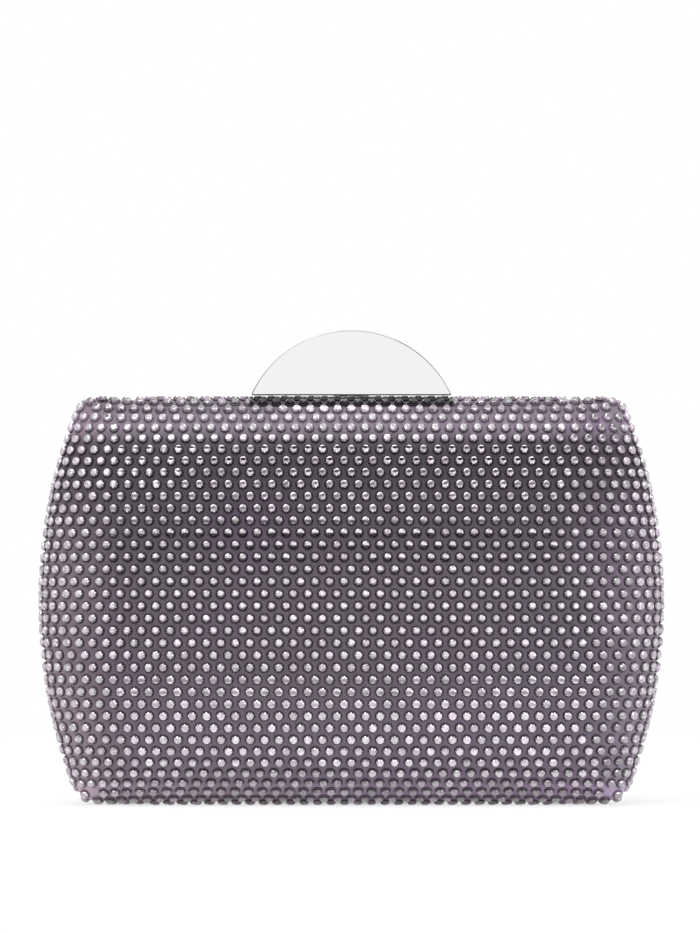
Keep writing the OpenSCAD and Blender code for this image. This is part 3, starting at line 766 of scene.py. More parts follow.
@dataclass(frozen=True)
class Satin:
    """Silver-grey satin of the lining, with its floats running across the case."""

    colour: Colour = (0.64, 0.62, 0.65)
    shade: Colour = (0.50, 0.48, 0.52)
    thread: float = 0.3
    float_scales: Triple = (0.35, 7.0, 1.0)
    float_mask: Span = (0.3, 0.75)
    float_shade: float = 0.6
    cloud_scale: float = 50.0
    cloud_mask: Span = (0.4, 0.7)
    cloud_shade: float = 0.3
    rough: Band = (0.25, 0.75, 0.3, 0.46)
    relief: float = 0.04
    relief_strength: float = 0.5
    float_share: float = 0.6
    sheen: float = 0.35
    gloss: float = 0.6

    def build(self) -> bpy.types.Material:
        """Makes the material, which reads the case's own map in millimetres."""
        g = Graph("silver_satin")
        uv, place = g.uv("arc"), g.place()
        floats = g.streaks(uv, self.float_scales)
        thread = g.part(uv, 1).wave(2 * math.pi / self.thread)
        cloud = g.noise(place, self.cloud_scale, 2.0)
        mask = floats.step(*self.float_mask) * self.float_shade
        mask = mask + cloud.step(*self.cloud_mask) * self.cloud_shade
        colour, rough = g.mix(mask, to_linear(self.colour), to_linear(self.shade)), floats.step(*self.rough)
        height = floats * self.float_share + thread * (1.0 - self.float_share)
        return g.surface(
            Base_Color=colour,
            Roughness=rough,
            Normal=g.bump(height, self.relief * MM, self.relief_strength),
            Sheen_Weight=self.sheen,
            Specular_IOR_Level=self.gloss,
        )


@dataclass(frozen=True)
class ShellBoard:
    """Dark moulded board of the shells."""

    colour: Colour = (0.2, 0.19, 0.21)
    fleck: Colour = (0.3, 0.29, 0.31)
    grain_scale: float = 1400.0
    flecked: Band = (0.4, 0.8, 0.0, 0.5)
    rough: Band = (0.2, 0.8, 0.5, 0.68)
    grain_depth: float = 0.03
    grain: float = 0.5

    def build(self) -> bpy.types.Material:
        """Makes the material, with a fine moulding grain."""
        g = Graph("moulded_board")
        grain = g.noise(g.place(), self.grain_scale)
        colour = g.mix(grain.step(*self.flecked), to_linear(self.colour), to_linear(self.fleck))
        rough = grain.step(*self.rough)
        normal = g.bump(grain, self.grain_depth * MM, self.grain)
        return g.surface(Base_Color=colour, Roughness=rough, Normal=normal)


@dataclass(frozen=True)
class CaseForm:
    """The case's pillowed surface and the tracks that its crystals follow, as the CAD has them."""

    half_w: float = 81.3
    half_h: float = 52.6
    depth: float = 24.8
    mid_z: float = 53.8
    end_r: float = 140.0
    rim: float = 6.2
    end_power: float = 5.0
    top_power: float = 2.8
    rise_power: float = 0.53
    rim_level: float = 0.004
    flat_share: float = 0.9

    @property
    def flat_q(self) -> float:
        """Share of the height where the top goes flat."""
        return float(self.level_q(self.end_fall(self.flat_share), self.rim_level))

    def end_fall(self, p: Any) -> Any:
        """Fall of the face towards the ends."""
        return 1 - np.abs(p) ** self.end_power

    def top_fall(self, q: Any) -> Any:
        """Fall of the face towards top and base."""
        return 1 - np.abs(q) ** self.top_power

    def level_p(self, fall: Any, level: Any) -> Any:
        """Share across at which a fall comes to a level."""
        return np.maximum(0, 1 - level / fall) ** (1 / self.end_power)

    def level_q(self, fall: Any, level: Any) -> Any:
        """Share up at which a fall comes to a level."""
        return np.maximum(0, 1 - level / fall) ** (1 / self.top_power)

    def half_width(self, z: Any, inset: float = 0.0) -> Any:
        """Half width of the bowed outline at a height from the middle."""
        return self.half_w - inset - (self.end_r - np.sqrt(self.end_r**2 - np.asarray(z) ** 2))

    def height(self, q: Any, inset: float = 0.0) -> Any:
        """Height from the middle at a share up."""
        return (self.half_h - inset) * np.clip(q, -self.flat_q, self.flat_q) / self.flat_q

    def depth_of(self, level: Any, inset: float = 0.0) -> Any:
        """Depth of the face at a level."""
        return self.rim + (self.depth - self.rim - inset) * np.asarray(level) ** self.rise_power

    def dome(self, p: Any, q: Any, inset: float = 0.0) -> Points:
        """Points of the face at shares across and up."""
        z = self.height(q, inset)
        y = self.depth_of(np.maximum(self.end_fall(p) * self.top_fall(q), self.rim_level), inset)
        return np.stack(np.broadcast_arrays(p * self.half_width(z, inset), y, z), axis=-1)

    def ring_shares(self, level: float, tops: int, ends: int) -> Points:
        """Shares of one level's whole ring, clockwise from the middle of the top."""
        pc = self.level_p(math.sqrt(level), level)
        qc = self.level_q(math.sqrt(level), level)
        p_top = pc * (1 - (1 - np.arange(tops + 1) / tops) ** 2)
        q_end = qc * (1 - (np.arange(1, ends + 1) / ends) ** 2)
        quarter = np.concatenate([
            np.stack([p_top, self.level_q(self.end_fall(p_top), level)], -1),
            np.stack([self.level_p(self.top_fall(q_end), level), q_end], -1),
        ])
        there, back = quarter[:-1], quarter[:0:-1]
        return np.concatenate([there, back * [1, -1], there * [-1, -1], back * [-1, 1]])

    def facing(self, places: Points) -> Points:
        """Unit directions that the face looks in at places on it."""
        x, y, z = places.T
        w = self.half_width(z)
        p, q = x / w, z * self.flat_q / self.half_h
        drop = self.depth - self.rim
        rise = np.maximum(0, y - self.rim) / drop
        fall_p = self.end_power * np.sign(p) * np.abs(p) ** (self.end_power - 1) * self.top_fall(q) / w
        fall_q = self.top_power * np.sign(q) * np.abs(q) ** (self.top_power - 1) * self.end_fall(p)
        fall_q = fall_q * self.flat_q / self.half_h
        bow_slope = -z / np.sqrt(self.end_r**2 - z**2)
        along_y = rise ** (1 / self.rise_power - 1) / self.rise_power / drop
        n = np.stack([fall_p, along_y, fall_q - fall_p * p * bow_slope], -1)
        return n / np.linalg.norm(n, axis=-1, keepdims=True)

    def arc_map(self, p: Points, q: Points, inset: float, samples: int = 24) -> Points:
        """Arc lengths across and up from the middle, as a map of the face in millimetres."""
        share = np.linspace(0, 1, samples + 1)[:, None]
        across = self.dome(share * p, np.broadcast_to(q, (samples + 1, len(q))), inset)
        upward = self.dome(np.broadcast_to(p, (samples + 1, len(p))), share * q, inset)
        lengths = [np.linalg.norm(np.diff(t, axis=0), axis=-1).sum(0) for t in (across, upward)]
        return np.stack([lengths[0] * np.sign(p), lengths[1] * np.sign(q)], -1)


@dataclass
class Track:
    """A line of points with its arc lengths."""

    points: Points
    arcs: Points = field(init=False)

    def __post_init__(self) -> None:
        """Adds up the arc lengths."""
        steps = np.linalg.norm(np.diff(self.points, axis=0), axis=1)
        self.arcs = np.concatenate([[0.0], np.cumsum(steps)])

    @property
    def length(self) -> float:
        """Whole length."""
        return float(self.arcs[-1])

    def at(self, arc: float) -> Points:
        """The place at one arc length."""
        return np.array([np.interp(arc, self.arcs, self.points[:, k]) for k in range(3)])

    def arc_where(self, axis: int, value: float) -> float:
        """The arc length where a rising coordinate has a value."""
        return float(np.interp(value, self.points[:, axis], self.arcs))


@dataclass
class CrystalLayout:
    """Where the crystals of one half are, row by row, as the CAD sets them, and a few more by the corners.

    Lengths are in millimetres. The bare fields say how finely a corner is searched for bare patches, and up
    to what level of the face.
    """

    form: CaseForm
    diameter: float = 2.96
    height: float = 1.2
    table: float = 1.8
    pitch: float = 3.75
    edge_y: float = 4.38
    gap: float = 3.01
    fit_gap: float = 0.05
    straight: float = 0.7
    eased: int = 6
    ease: float = 0.85
    steps: int = 40
    corner_from: float = 0.9
    corner_steps: int = 30
    corner_extra: float = 0.3
    edge_tops: int = 24
    edge_ends: int = 28
    edge_nudge: float = 0.15
    bare_level: float = 0.3
    bare_rings: int = 40
    bare_steps: int = 120
    bare_gap: float = 2.86
    places: Points = field(init=False)
    facings: Points = field(init=False)

    def __post_init__(self) -> None:
        """Works the places out."""
        edge, edge_facing = self._edge_row()
        places, facings = [edge], [edge_facing]
        for sz in (1, -1):
            quarter, facing = self._quarter(edge, sz)
            for sx in (1, -1):
                keep = quarter[:, 0] > (self.gap / 4 if sx < 0 else -1)
                flip = np.array([sx, 1, sz])
                places.append(quarter[keep] * flip)
                facings.append(facing[keep] * flip)
        self.places, self.facings = np.concatenate(places), np.concatenate(facings)

    def _spread(self) -> Points:
        """Shares along a track, crowded towards its end."""
        return 1 - (1 - np.arange(self.steps + 1) / self.steps) ** 2

    def _to_edge(self, line: Points) -> Track:
        """A track along a line and then down the rim to the edge row."""
        return Track(np.vstack([line, [line[-1][0], self.edge_y, line[-1][2]]]))

    def _row(self, q: float) -> Track:
        """Track across the face at one share up."""
        form = self.form
        end = float(form.level_p(form.top_fall(q), form.rim_level))
        return self._to_edge(form.dome(end * self._spread(), q))

    def _column(self, p: float) -> Track:
        """Track up the face at one share across."""
        form = self.form
        end = float(form.level_q(form.end_fall(p), form.rim_level))
        return self._to_edge(form.dome(p, end * self._spread()))

    def _edge_row(self) -> tuple[Points, Points]:
        """Places and facings of the row round the rim."""
        form = self.form
        shares = form.ring_shares(form.rim_level, self.edge_tops, self.edge_ends)
        z = form.height(shares[:, 1])
        loop = np.stack([shares[:, 0] * form.half_width(z), np.full(len(z), self.edge_y), z], -1)
        track = Track(np.vstack([loop, loop[:1]]))
        count = 2 * int(track.length // (2 * self.diameter + self.height))
        places, facings = [], []
        for k in range(count):
            arc = (k + 0.5) * track.length / count
            along = track.at(arc + self.edge_nudge) - track.at(arc - self.edge_nudge)
            places.append(track.at(arc))
            facings.append(np.array([-along[2], 0, along[0]]) / np.linalg.norm(along))
        return np.array(places), np.array(facings)

    def _level_row(self, q: float, stagger: int) -> Points:
        """Places in one level row of a right quarter."""
        track, offset = self._row(q), stagger / 2
        count = int(math.floor(track.length / self.pitch - offset + 0.5))
        odd = track.length - (count + offset) * self.pitch
        ease = [max(0.0, 1 - (count - i) / self.eased) for i in range(count)]
        return np.array([track.at((i + offset) * self.pitch + odd * ease[i]) for i in range(count)])

    def _quarter(self, edge: Points, half: int) -> tuple[Points, Points]:
        """Places and facings in a right quarter, drawn upwards: the lower half is staggered the other way."""
        form = self.form
        middle = self._column(0.0)
        rows = int(math.floor(middle.length / (self.pitch * math.sin(math.radians(60)))))
        pitch = middle.length / (rows + 0.5)
        last = int(rows * self.straight)
        shares = [middle.at((j + 0.5) * pitch)[2] * form.flat_q / form.half_h for j in range(last + 1)]
        level = [self._level_row(q, (j + (half < 0)) % 2) for j, q in enumerate(shares)]
        shoulder = [
            self._shoulder_row(level[last - (j - last) % 2], j, last, pitch) for j in range(last + 1, rows)
        ]
        corner = [self._beyond(row[-back]) for back in (1, 2, 3) for row in shoulder]
        corner += [v for p in self._corner() for v in self._column_shares(p)]
        kept = [*level[last - 1], *level[last]]
        for place in [v for row in shoulder for v in row] + corner:
            if np.linalg.norm(edge - place, axis=1).min() <= self.diameter:
                continue
            if np.linalg.norm(np.array(kept) - place, axis=1).min() >= self.gap:
                kept.append(place)
        found = np.vstack([*level[: last - 1], np.array(kept)])
        found = np.vstack([found, *self._bare_spots(np.vstack([found, edge]))])
        n = form.facing(found)
        reach = self.height * n[:, 2] + self.table / 2 * np.sqrt(np.maximum(0, 1 - n[:, 2] ** 2))
        over = found[:, 2] + reach - form.half_h - self.height
        found[:, 2] = np.where(over > self.fit_gap, form.half_h, found[:, 2] - np.maximum(0, over))
        n[over > self.fit_gap] = (0.0, 0.0, 1.0)
        return found, n

    def _bare_spots(self, taken: Points) -> list[Points]:
        """Places for the last crystals of a quarter, in the patches that the rows leave bare at a corner.

        Args:
            taken: The places that have a crystal already.

        Returns:
            The places, the barest first.
        """
        form, found = self.form, []
        levels = np.geomspace(form.rim_level, self.bare_level, self.bare_rings)
        shares = np.vstack([form.ring_shares(level, self.bare_steps, self.bare_steps) for level in levels])
        tried = form.dome(*shares[(shares > 0).all(axis=1)].T)
        room = np.min([np.linalg.norm(tried - place, axis=1) for place in taken], axis=0)
        while room.max() >= self.bare_gap:
            found.append(tried[room.argmax()])
            room = np.minimum(room, np.linalg.norm(tried - found[-1], axis=1))
        LOG.info("%d more crystals by a corner", len(found))
        return found

    def _shoulder_row(self, starts: Points, j: int, last: int, pitch: float) -> list[Points]:
        """Places of a shoulder row, up the columns of the last two level rows."""
        base, row = last - (j - last) % 2, []
        for v in starts:
            track = self._column(v[0] / float(self.form.half_width(v[2])))
            arc = track.arc_where(2, v[2]) + (j - base) * pitch
            stop = track.length - self.gap
            if v[1] > self.form.rim + self.height and arc < stop + self.ease:
                row.append(track.at(min(arc, stop)))
        return row

    def _corner(self) -> Points:
        """Shares that are tried for the last places of the corner."""
        shares = np.arange(self.corner_steps + 1) * (1 - self.corner_from) / self.corner_steps
        return self.corner_from + shares

    def _column_shares(self, p: float) -> list[Points]:
        """Places of the corner at one share across."""
        form = self.form
        return [
            form.dome(p, q) for q in self._corner()
            if float(form.end_fall(p) * form.top_fall(q)) > form.rim_level and q < form.flat_q
        ]

    def _beyond(self, v: Points) -> Points:
        """The next place outwards on the level of another."""
        track = self._row(v[2] * self.form.flat_q / self.form.half_h)
        return track.at(min(track.arc_where(0, v[0]) + self.gap + self.corner_extra, track.length))


class MeshMaker:
    """Makes finished objects from points and faces, and from the frame's nodes."""

    WELD = 0.002
    FLAT_ANGLE = math.radians(0.8)
    SMOOTH_ANGLE = math.radians(32)
    BEVEL_ANGLE = math.radians(40)
    BEVEL_STEPS = 2
    BEVEL_PROFILE = 0.6

    @staticmethod
    def build(
        name: str,
        points: Points,
        faces: Sequence[Sequence[int]],
        material: bpy.types.Material | None,
        smooth: bool = True,
    ) -> bpy.types.Object:
        """Makes an object at the origin.

        Args:
            name: Its name.
            points: Its vertices, in millimetres.
            faces: Its faces.
            material: Its material.
            smooth: Whether its faces shade smoothly.

        Returns:
            The object.
        """
        mesh = bpy.data.meshes.new(name)
        mesh.from_pydata((np.asarray(points) * MM).tolist(), [], [list(f) for f in faces])
        mesh.validate()
        if smooth:
            mesh.shade_smooth()
        if material:
            mesh.materials.append(material)
        made = bpy.data.objects.new(name, mesh)
        bpy.context.scene.collection.objects.link(made)
        return made

    @staticmethod
    def outward(thing: bpy.types.Object) -> bpy.types.Object:
        """Turns the faces of a closed mesh outwards."""
        work = bmesh.new()
        work.from_mesh(thing.data)
        bmesh.ops.recalc_face_normals(work, faces=work.faces)
        work.to_mesh(thing.data)
        work.free()
        return thing

    @classmethod
    def dressed(
        cls, frame: dict[str, Any], node: str, material: bpy.types.Material, bevel: float
    ) -> bpy.types.Object:
        """Makes a bevelled, smooth copy of a CAD node.

        Args:
            node: The node's name.
            material: The copy's material.
            bevel: Width of the edges' bevel, in millimetres.

        Returns:
            The copy, riding where the node does and standing for it.
        """
        source = frame["nodes"][node]
        mesh = source.data.copy()
        mesh.name = f"{node}_fine"
        work = bmesh.new()
        work.from_mesh(mesh)
        bmesh.ops.remove_doubles(work, verts=work.verts, dist=cls.WELD * MM)
        bmesh.ops.dissolve_limit(work, angle_limit=cls.FLAT_ANGLE, verts=work.verts, edges=work.edges)
        if bevel:
            joined = [edge for edge in work.edges if len(edge.link_faces) == 2]
            sharp = [edge for edge in joined if edge.calc_face_angle(0) > cls.BEVEL_ANGLE]
            bmesh.ops.bevel(
                work,
                geom=sharp,
                offset=bevel * MM,
                segments=cls.BEVEL_STEPS,
                profile=cls.BEVEL_PROFILE,
                affect="EDGES",
                clamp_overlap=True,
            )
        for face in work.faces:
            face.smooth = True
        for edge in work.edges:
            edge.smooth = len(edge.link_faces) == 2 and edge.calc_face_angle(0) < cls.SMOOTH_ANGLE
        work.to_mesh(mesh)
        work.free()
        mesh.materials.clear()
        mesh.materials.append(material)
        for polygon in mesh.polygons:
            polygon.material_index = 0
        copy = bpy.data.objects.new(f"{node}_fine", mesh)
        bpy.context.scene.collection.objects.link(copy)
        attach(copy, source["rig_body"])
        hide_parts(node)
        return copy


@dataclass
class CrystalSetting:
    """Sets crystals and their cups on places by Geometry Nodes.

    A crystal's rings and a cup's profile are given as radius and height in millimetres, and each ring also by
    how far it is turned, in facets.
    """

    layout: CrystalLayout
    glass: bpy.types.Material
    metal: bpy.types.Material
    top: float = 1.18
    rings: Sequence[tuple[float, float, float]] = (
        (0.6, 1.17, 0.5), (0.888, 1.08, 0.0), (1.17, 0.7, 0.5), (1.2, 0.34, 0.5),
    )
    sides: int = 8
    cup_profile: Sequence[tuple[float, float]] = (
        (1.42, 0.0), (1.40, 0.2), (1.34, 0.34), (1.26, 0.38), (1.18, 0.3),
    )
    cup_sides: int = 12
    size_spread: float = 0.03
    turn_seed: int = 7
    tone_seed: int = 23
    stone_seed: int = 41

    @staticmethod
    def ring(radius: float, z: float, sides: int, offset: float = 0.0) -> list[tuple[float, float, float]]:
        """Points of one ring round Z."""
        angles = [2 * math.pi * (k + offset) / sides for k in range(sides)]
        return [(radius * math.cos(a), radius * math.sin(a), z) for a in angles]

    def crystal(self) -> bpy.types.Object:
        """Makes one crystal, its facets marked with the ring that they lie in."""
        n = self.sides
        points = [(0.0, 0.0, self.top)]
        for radius, z, offset in self.rings:
            points += self.ring(radius, z, n, offset)

        def at(ring: int, k: int) -> int:
            """The number of a ring's point."""
            return 1 + ring * n + k % n

        faces = [(0, at(0, k), at(0, k + 1)) for k in range(n)]
        bands = [Ring.CORE] * n
        for k in range(n):
            faces += [(at(0, k), at(1, k + 1), at(0, k + 1)), (at(0, k), at(1, k), at(1, k + 1))]
            faces += [(at(1, k), at(2, k), at(1, k + 1)), (at(2, k), at(2, k + 1), at(1, k + 1))]
            faces += [(at(2, k), at(3, k), at(3, k + 1), at(2, k + 1))]
            bands += [Ring.TABLE, Ring.TABLE, Ring.CROWN, Ring.CROWN, Ring.GIRDLE]
        made = MeshMaker.build("crystal_pattern", np.array(points), faces, self.glass, smooth=False)
        ring = made.data.attributes.new("ring", "FLOAT", "FACE")
        ring.data.foreach_set("value", [band.value for band in bands])
        return made

    def cup(self) -> bpy.types.Object:
        """Makes one cup: a low wall with a rolled rim."""
        n, faces = self.cup_sides, []
        points = [point for radius, z in self.cup_profile for point in self.ring(radius, z, n)]
        for band in range(len(self.cup_profile) - 1):
            for k in range(n):
                a, b = band * n + k, band * n + (k + 1) % n
                faces.append((a, b, b + n, a + n))
        return MeshMaker.build("cup_pattern", np.array(points), faces, self.metal)

    def tree(self) -> bpy.types.NodeTree:
        """Builds the node tree that sets a pattern on every point."""
        tree = bpy.data.node_groups.new("set_on_places", "GeometryNodeTree")
        face = tree.interface
        for name, kind in (
            ("Geometry", "Geometry"),
            ("Pattern", "Object"),
            ("Material", "Material"),
            ("Size spread", "Float"),
            ("Turn seed", "Int"),
            ("Tone seed", "Int"),
        ):
            face.new_socket(name=name, in_out="INPUT", socket_type=f"NodeSocket{kind}")
        face.new_socket(name="Geometry", in_out="OUTPUT", socket_type="NodeSocketGeometry")

        def add(kind: str, values: dict[Any, Any] | None = None, **settings: Any) -> bpy.types.Node:
            """Adds a node with its settings first and then its values or links."""
            made = tree.nodes.new(kind)
            for key, value in settings.items():
                setattr(made, key, value)
            for key, value in (values or {}).items():
                if isinstance(value, bpy.types.NodeSocket):
                    tree.links.new(value, made.inputs[key])
                else:
                    made.inputs[key].default_value = value
            return made

        def between(low: Any, high: float, seed: str) -> bpy.types.NodeSocket:
            """Draws a number for each element between two limits, by one of the seeds."""
            drawn = add("FunctionNodeRandomValue", {2: low, 3: high, "Seed": given[seed]}, data_type="FLOAT")
            return drawn.outputs[1]

        given = add("NodeGroupInput").outputs
        info = add("GeometryNodeObjectInfo", {"Object": given["Pattern"]})
        axis = add("GeometryNodeInputNamedAttribute", {"Name": "axis"}, data_type="FLOAT_VECTOR")
        aim = add("FunctionNodeAlignRotationToVector", {"Vector": axis.outputs[0]}, axis="Z")
        twist = {"Axis": (0.0, 0.0, 1.0), "Angle": between(0.0, 2 * math.pi, "Turn seed")}
        spin = add("FunctionNodeAxisAngleToRotation", twist)
        turns = {0: aim.outputs[0], 1: spin.outputs[0]}
        turned = add("FunctionNodeRotateRotation", turns, rotation_space="LOCAL")
        least = add("ShaderNodeMath", {0: 1.0, 1: given["Size spread"]}, operation="SUBTRACT")
        placing = {
            "Points": given["Geometry"],
            "Instance": info.outputs["Geometry"],
            "Rotation": turned.outputs[0],
            "Scale": between(least.outputs[0], 1.0, "Turn seed"),
        }
        placed = add("GeometryNodeInstanceOnPoints", placing)
        real = add("GeometryNodeRealizeInstances", {0: placed.outputs[0]})
        stored = {"Geometry": real.outputs[0], "Name": "tone", "Value": between(0.0, 1.0, "Tone seed")}
        toned = add("GeometryNodeStoreNamedAttribute", stored, data_type="FLOAT", domain="FACE")
        coated = add("GeometryNodeSetMaterial", {"Geometry": toned.outputs[0], "Material": given["Material"]})
        add("NodeGroupOutput", {0: coated.outputs[0]})
        return tree

    def places(self, side: Side) -> bpy.types.Object:
        """Makes the points that the tree reads, each with its facing, its middle and a number of its own."""
        layout = self.layout
        flip = np.array([1, side.value, 1])
        spots = layout.places * flip + [0, 0, layout.form.mid_z]
        axes = layout.facings * flip
        made = MeshMaker.build(f"{side.word}_places", spots, [], None)
        raised = (spots + axes * layout.height) * MM
        numbers = np.random.default_rng(self.stone_seed + side.value).random(len(spots))
        for name, kind, key, values in (
            ("axis", "FLOAT_VECTOR", "vector", axes),
            ("centre", "FLOAT_VECTOR", "vector", raised),
            ("stone", "FLOAT", "value", numbers),
        ):
            data = made.data.attributes.new(name, kind, "POINT")
            data.data.foreach_set(key, np.asarray(values, np.float32).ravel())
        return made

    def set(
        self,
        side: Side,
        tree: bpy.types.NodeTree,
        pattern: bpy.types.Object,
        material: bpy.types.Material,
        name: str,
        spread: float = 0.0,
    ) -> bpy.types.Object:
        """Sets a pattern on one half's places and turns it into a plain mesh.

        Args:
            side: The half.
            tree: The node tree.
            pattern: The crystal or the cup.
            material: Its material.
            name: The piece's name.
            spread: How much smaller the smallest one is.

        Returns:
            The piece, riding on the half's body.
        """
        piece = self.places(side)
        modifier = piece.modifiers.new("setting", "NODES")
        modifier.node_group = tree
        inputs = {
            "Pattern": pattern,
            "Material": material,
            "Size spread": spread,
            "Turn seed": self.turn_seed + side.value,
            "Tone seed": self.tone_seed + side.value,
        }
        for item in tree.interface.items_tree:
            if item.in_out == "INPUT" and item.name in inputs:
                modifier[item.identifier] = inputs[item.name]
        bpy.context.view_layer.update()
        depsgraph = bpy.context.evaluated_depsgraph_get()
        plain = bpy.data.meshes.new_from_object(
            piece.evaluated_get(depsgraph), preserve_all_data_layers=True, depsgraph=depsgraph
        )
        piece.modifiers.clear()
        piece.data = plain
        piece.name = plain.name = name
        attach(piece, side.body)
        LOG.info("%s: %d faces", name, len(plain.polygons))
        return piece

    def build(self) -> None:
        """Sets both halves."""
        tree, crystal, cup = self.tree(), self.crystal(), self.cup()
        for side in Side:
            word = side.word
            glass = self.set(side, tree, crystal, self.glass, f"{word}_cut_crystals", self.size_spread)
            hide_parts(f"{word}_crystals", f"{word}_edge_crystals", f"{word}_base_crystals")
            self.set(side, tree, cup, self.metal, f"{word}_crystal_cups")
        for pattern in (crystal, cup):
            bpy.data.objects.remove(pattern)


@dataclass(frozen=True)
class Layer:
    """One skin of a half and where it lies, in millimetres inside the cloth's outer surface.

    Its middle is where its cut is measured, its edge is the depth of its free edge, and its pucker is the
    height of the gathers of its inner surface at the rim.
    """

    name: str
    node: str
    slot: str
    outer: float
    middle: float
    inner: float
    edge_y: float
    pucker: float = 0.0


@dataclass
class HalfSkin:
    """The cloth cover and the lining of one half, on a fine mesh of the case's form."""

    form: CaseForm
    side: Side
    cover: Layer = Layer("mesh_cloth", "cloth", "mesh_cloth", 0.0, 0.0, 0.5, 2.6)
    lining: Layer = Layer("satin_lining", "lining", "satin", 2.0, 2.45, 2.9, 6.45, 0.5)
    crown_rise: float = 0.02
    tops: int = 22
    ends: int = 26
    angles: Sequence[float] = (4, 8, 12, 17, 22, 27, 32, 37, 42, 47, 52, 57, 62, 67, 72, 76, 80, 83, 86)

    def _levels(self) -> list[float]:
        """Levels of the rings from the rim to the crown."""
        rises = [math.sin(math.radians(a)) ** (1 / self.form.rise_power) for a in self.angles]
        return [self.form.rim_level, *rises]

    def surface(self, inset: float, edge_y: float) -> tuple[Points, Points, int]:
        """Rings of points from the free edge to the crown, with their shares.

        Args:
            inset: Distance inside the cloth's outer surface.
            edge_y: Depth of the free edge.

        Returns:
            The points, the shares, and the number of points in a ring.
        """
        form, rows, shares = self.form, [], []
        for k, level in enumerate([self.form.rim_level, *self._levels()]):
            ring = form.ring_shares(level, self.tops, self.ends)
            z = form.height(ring[:, 1], inset)
            y = edge_y if k == 0 else float(form.depth_of(level, inset))
            rows.append(np.stack([ring[:, 0] * form.half_width(z, inset), np.full(len(z), y), z], -1))
            shares.append(ring)
        return np.vstack(rows), np.vstack(shares), len(rows[0])

    def shell(self, layer: Layer, material: bpy.types.Material) -> bpy.types.Object:
        """Makes a closed skin.

        Args:
            layer: Which skin it is.
            material: The skin's material.

        Returns:
            The skin.
        """
        form = self.form
        out, shares, n = self.surface(layer.outer, layer.edge_y)
        into, _, _ = self.surface(layer.inner, layer.edge_y)
        rows = len(out) // n
        if layer.pucker:
            into = self._puckered(into, n, rows, layer.pucker)
        crown = [[0, form.depth - layer.outer, 0], [0, into[-n:, 1].mean() + self.crown_rise, 0]]
        points = np.vstack([out, into, crown])
        half, faces = len(out), []
        for r in range(rows - 1):
            for k in range(n):
                a, b = r * n + k, r * n + (k + 1) % n
                faces.append((a, a + n, b + n, b))
                faces.append((half + a, half + b, half + b + n, half + a + n))
        for k in range(n):
            a, b = (rows - 1) * n + k, (rows - 1) * n + (k + 1) % n
            faces += [(a, 2 * half, b), (half + a, half + b, 2 * half + 1)]
            faces.append((k, (k + 1) % n, half + (k + 1) % n, half + k))
        points = points * [1, self.side.value, 1] + [0, 0, form.mid_z]
        if self.side is Side.FRONT:
            faces = [f[::-1] for f in faces]
        made = MeshMaker.build(f"{self.side.word}_{layer.name}", points, faces, material)
        self._map(made, np.vstack([shares, shares, [[0, 0], [0, 0]]]), layer.outer)
        for edge in made.data.edges:
            low, high = sorted(edge.vertices)
            if high < n and abs(high - low) in (1, n - 1) or half <= low and high < half + n:
                edge.use_edge_sharp = True
        return made

    def _puckered(self, points: Points, n: int, rows: int, pucker: float) -> Points:
        """Draws the inner surface up into gathers that fade away from the rim, and into slow swells.

        Args:
            points: The surface's points, ring by ring.
            n: How many there are in a ring.
            rows: How many rings there are.
            pucker: Height of the gathers.

        Returns:
            The moved points.
        """
        deepest, reach, swell_rows, swell_share = 3, 3.2, 5, 0.6
        broad, narrow, drift, broad_share, swell_x, swell_z = 37, 61, 5, 0.6, 0.11, 0.13
        turn = np.tile(np.arange(n) / n * 2 * math.pi, rows)
        row = np.repeat(np.arange(rows), n)
        fade = np.exp(-((row - deepest) / reach) ** 2) * (row > 0)
        gathers = np.sin(broad * turn + 1.3 * np.sin(drift * turn)) * broad_share
        gathers = gathers + np.sin(narrow * turn + 0.7) * (1 - broad_share)
        swells = np.sin(points[:, 0] * swell_x + 0.6) * np.sin(points[:, 2] * swell_z + 1.1)
        swells = swells * np.clip((row - deepest) / swell_rows, 0, 1)
        moved = points.copy()
        moved[:, 1] -= pucker * (fade * (gathers * 0.5 + 0.5) + swell_share * (swells * 0.5 + 0.5))
        return moved

    def _map(self, made: bpy.types.Object, shares: Points, inset: float) -> None:
        """Gives the skin its own map in arc lengths."""
        uv = self.form.arc_map(shares[:, 0], shares[:, 1], inset)
        layer = made.data.uv_layers.new(name="arc")
        corners = np.zeros(len(made.data.loops), np.int32)
        made.data.loops.foreach_get("vertex_index", corners)
        layer.data.foreach_set("uv", uv[corners].astype(np.float32).ravel())

    def declare(self, layer: Layer) -> None:
        """Works out a skin's middle surface and the cross products across its rings, which nothing uses.

        Args:
            layer: Which skin it is.
        """
        points, _, n = self.surface(layer.middle, layer.edge_y)
        ring = points.reshape(-1, n, 3)
        after = np.roll(ring, -1, axis=1)
        sides = np.cross(ring[1:] - after[:-1], after[1:] - ring[:-1])
        for k in (0, n // 4, n // 2, 3 * n // 4):
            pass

    def build(self, cloth: bpy.types.Material, satin: bpy.types.Material) -> None:
        """Makes the cloth and the lining."""
        for layer, material in ((self.cover, cloth), (self.lining, satin)):
            piece = self.shell(layer, material)
            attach(piece, self.side.body)
            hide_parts(f"{self.side.word}_{layer.node}")
            self.declare(layer)


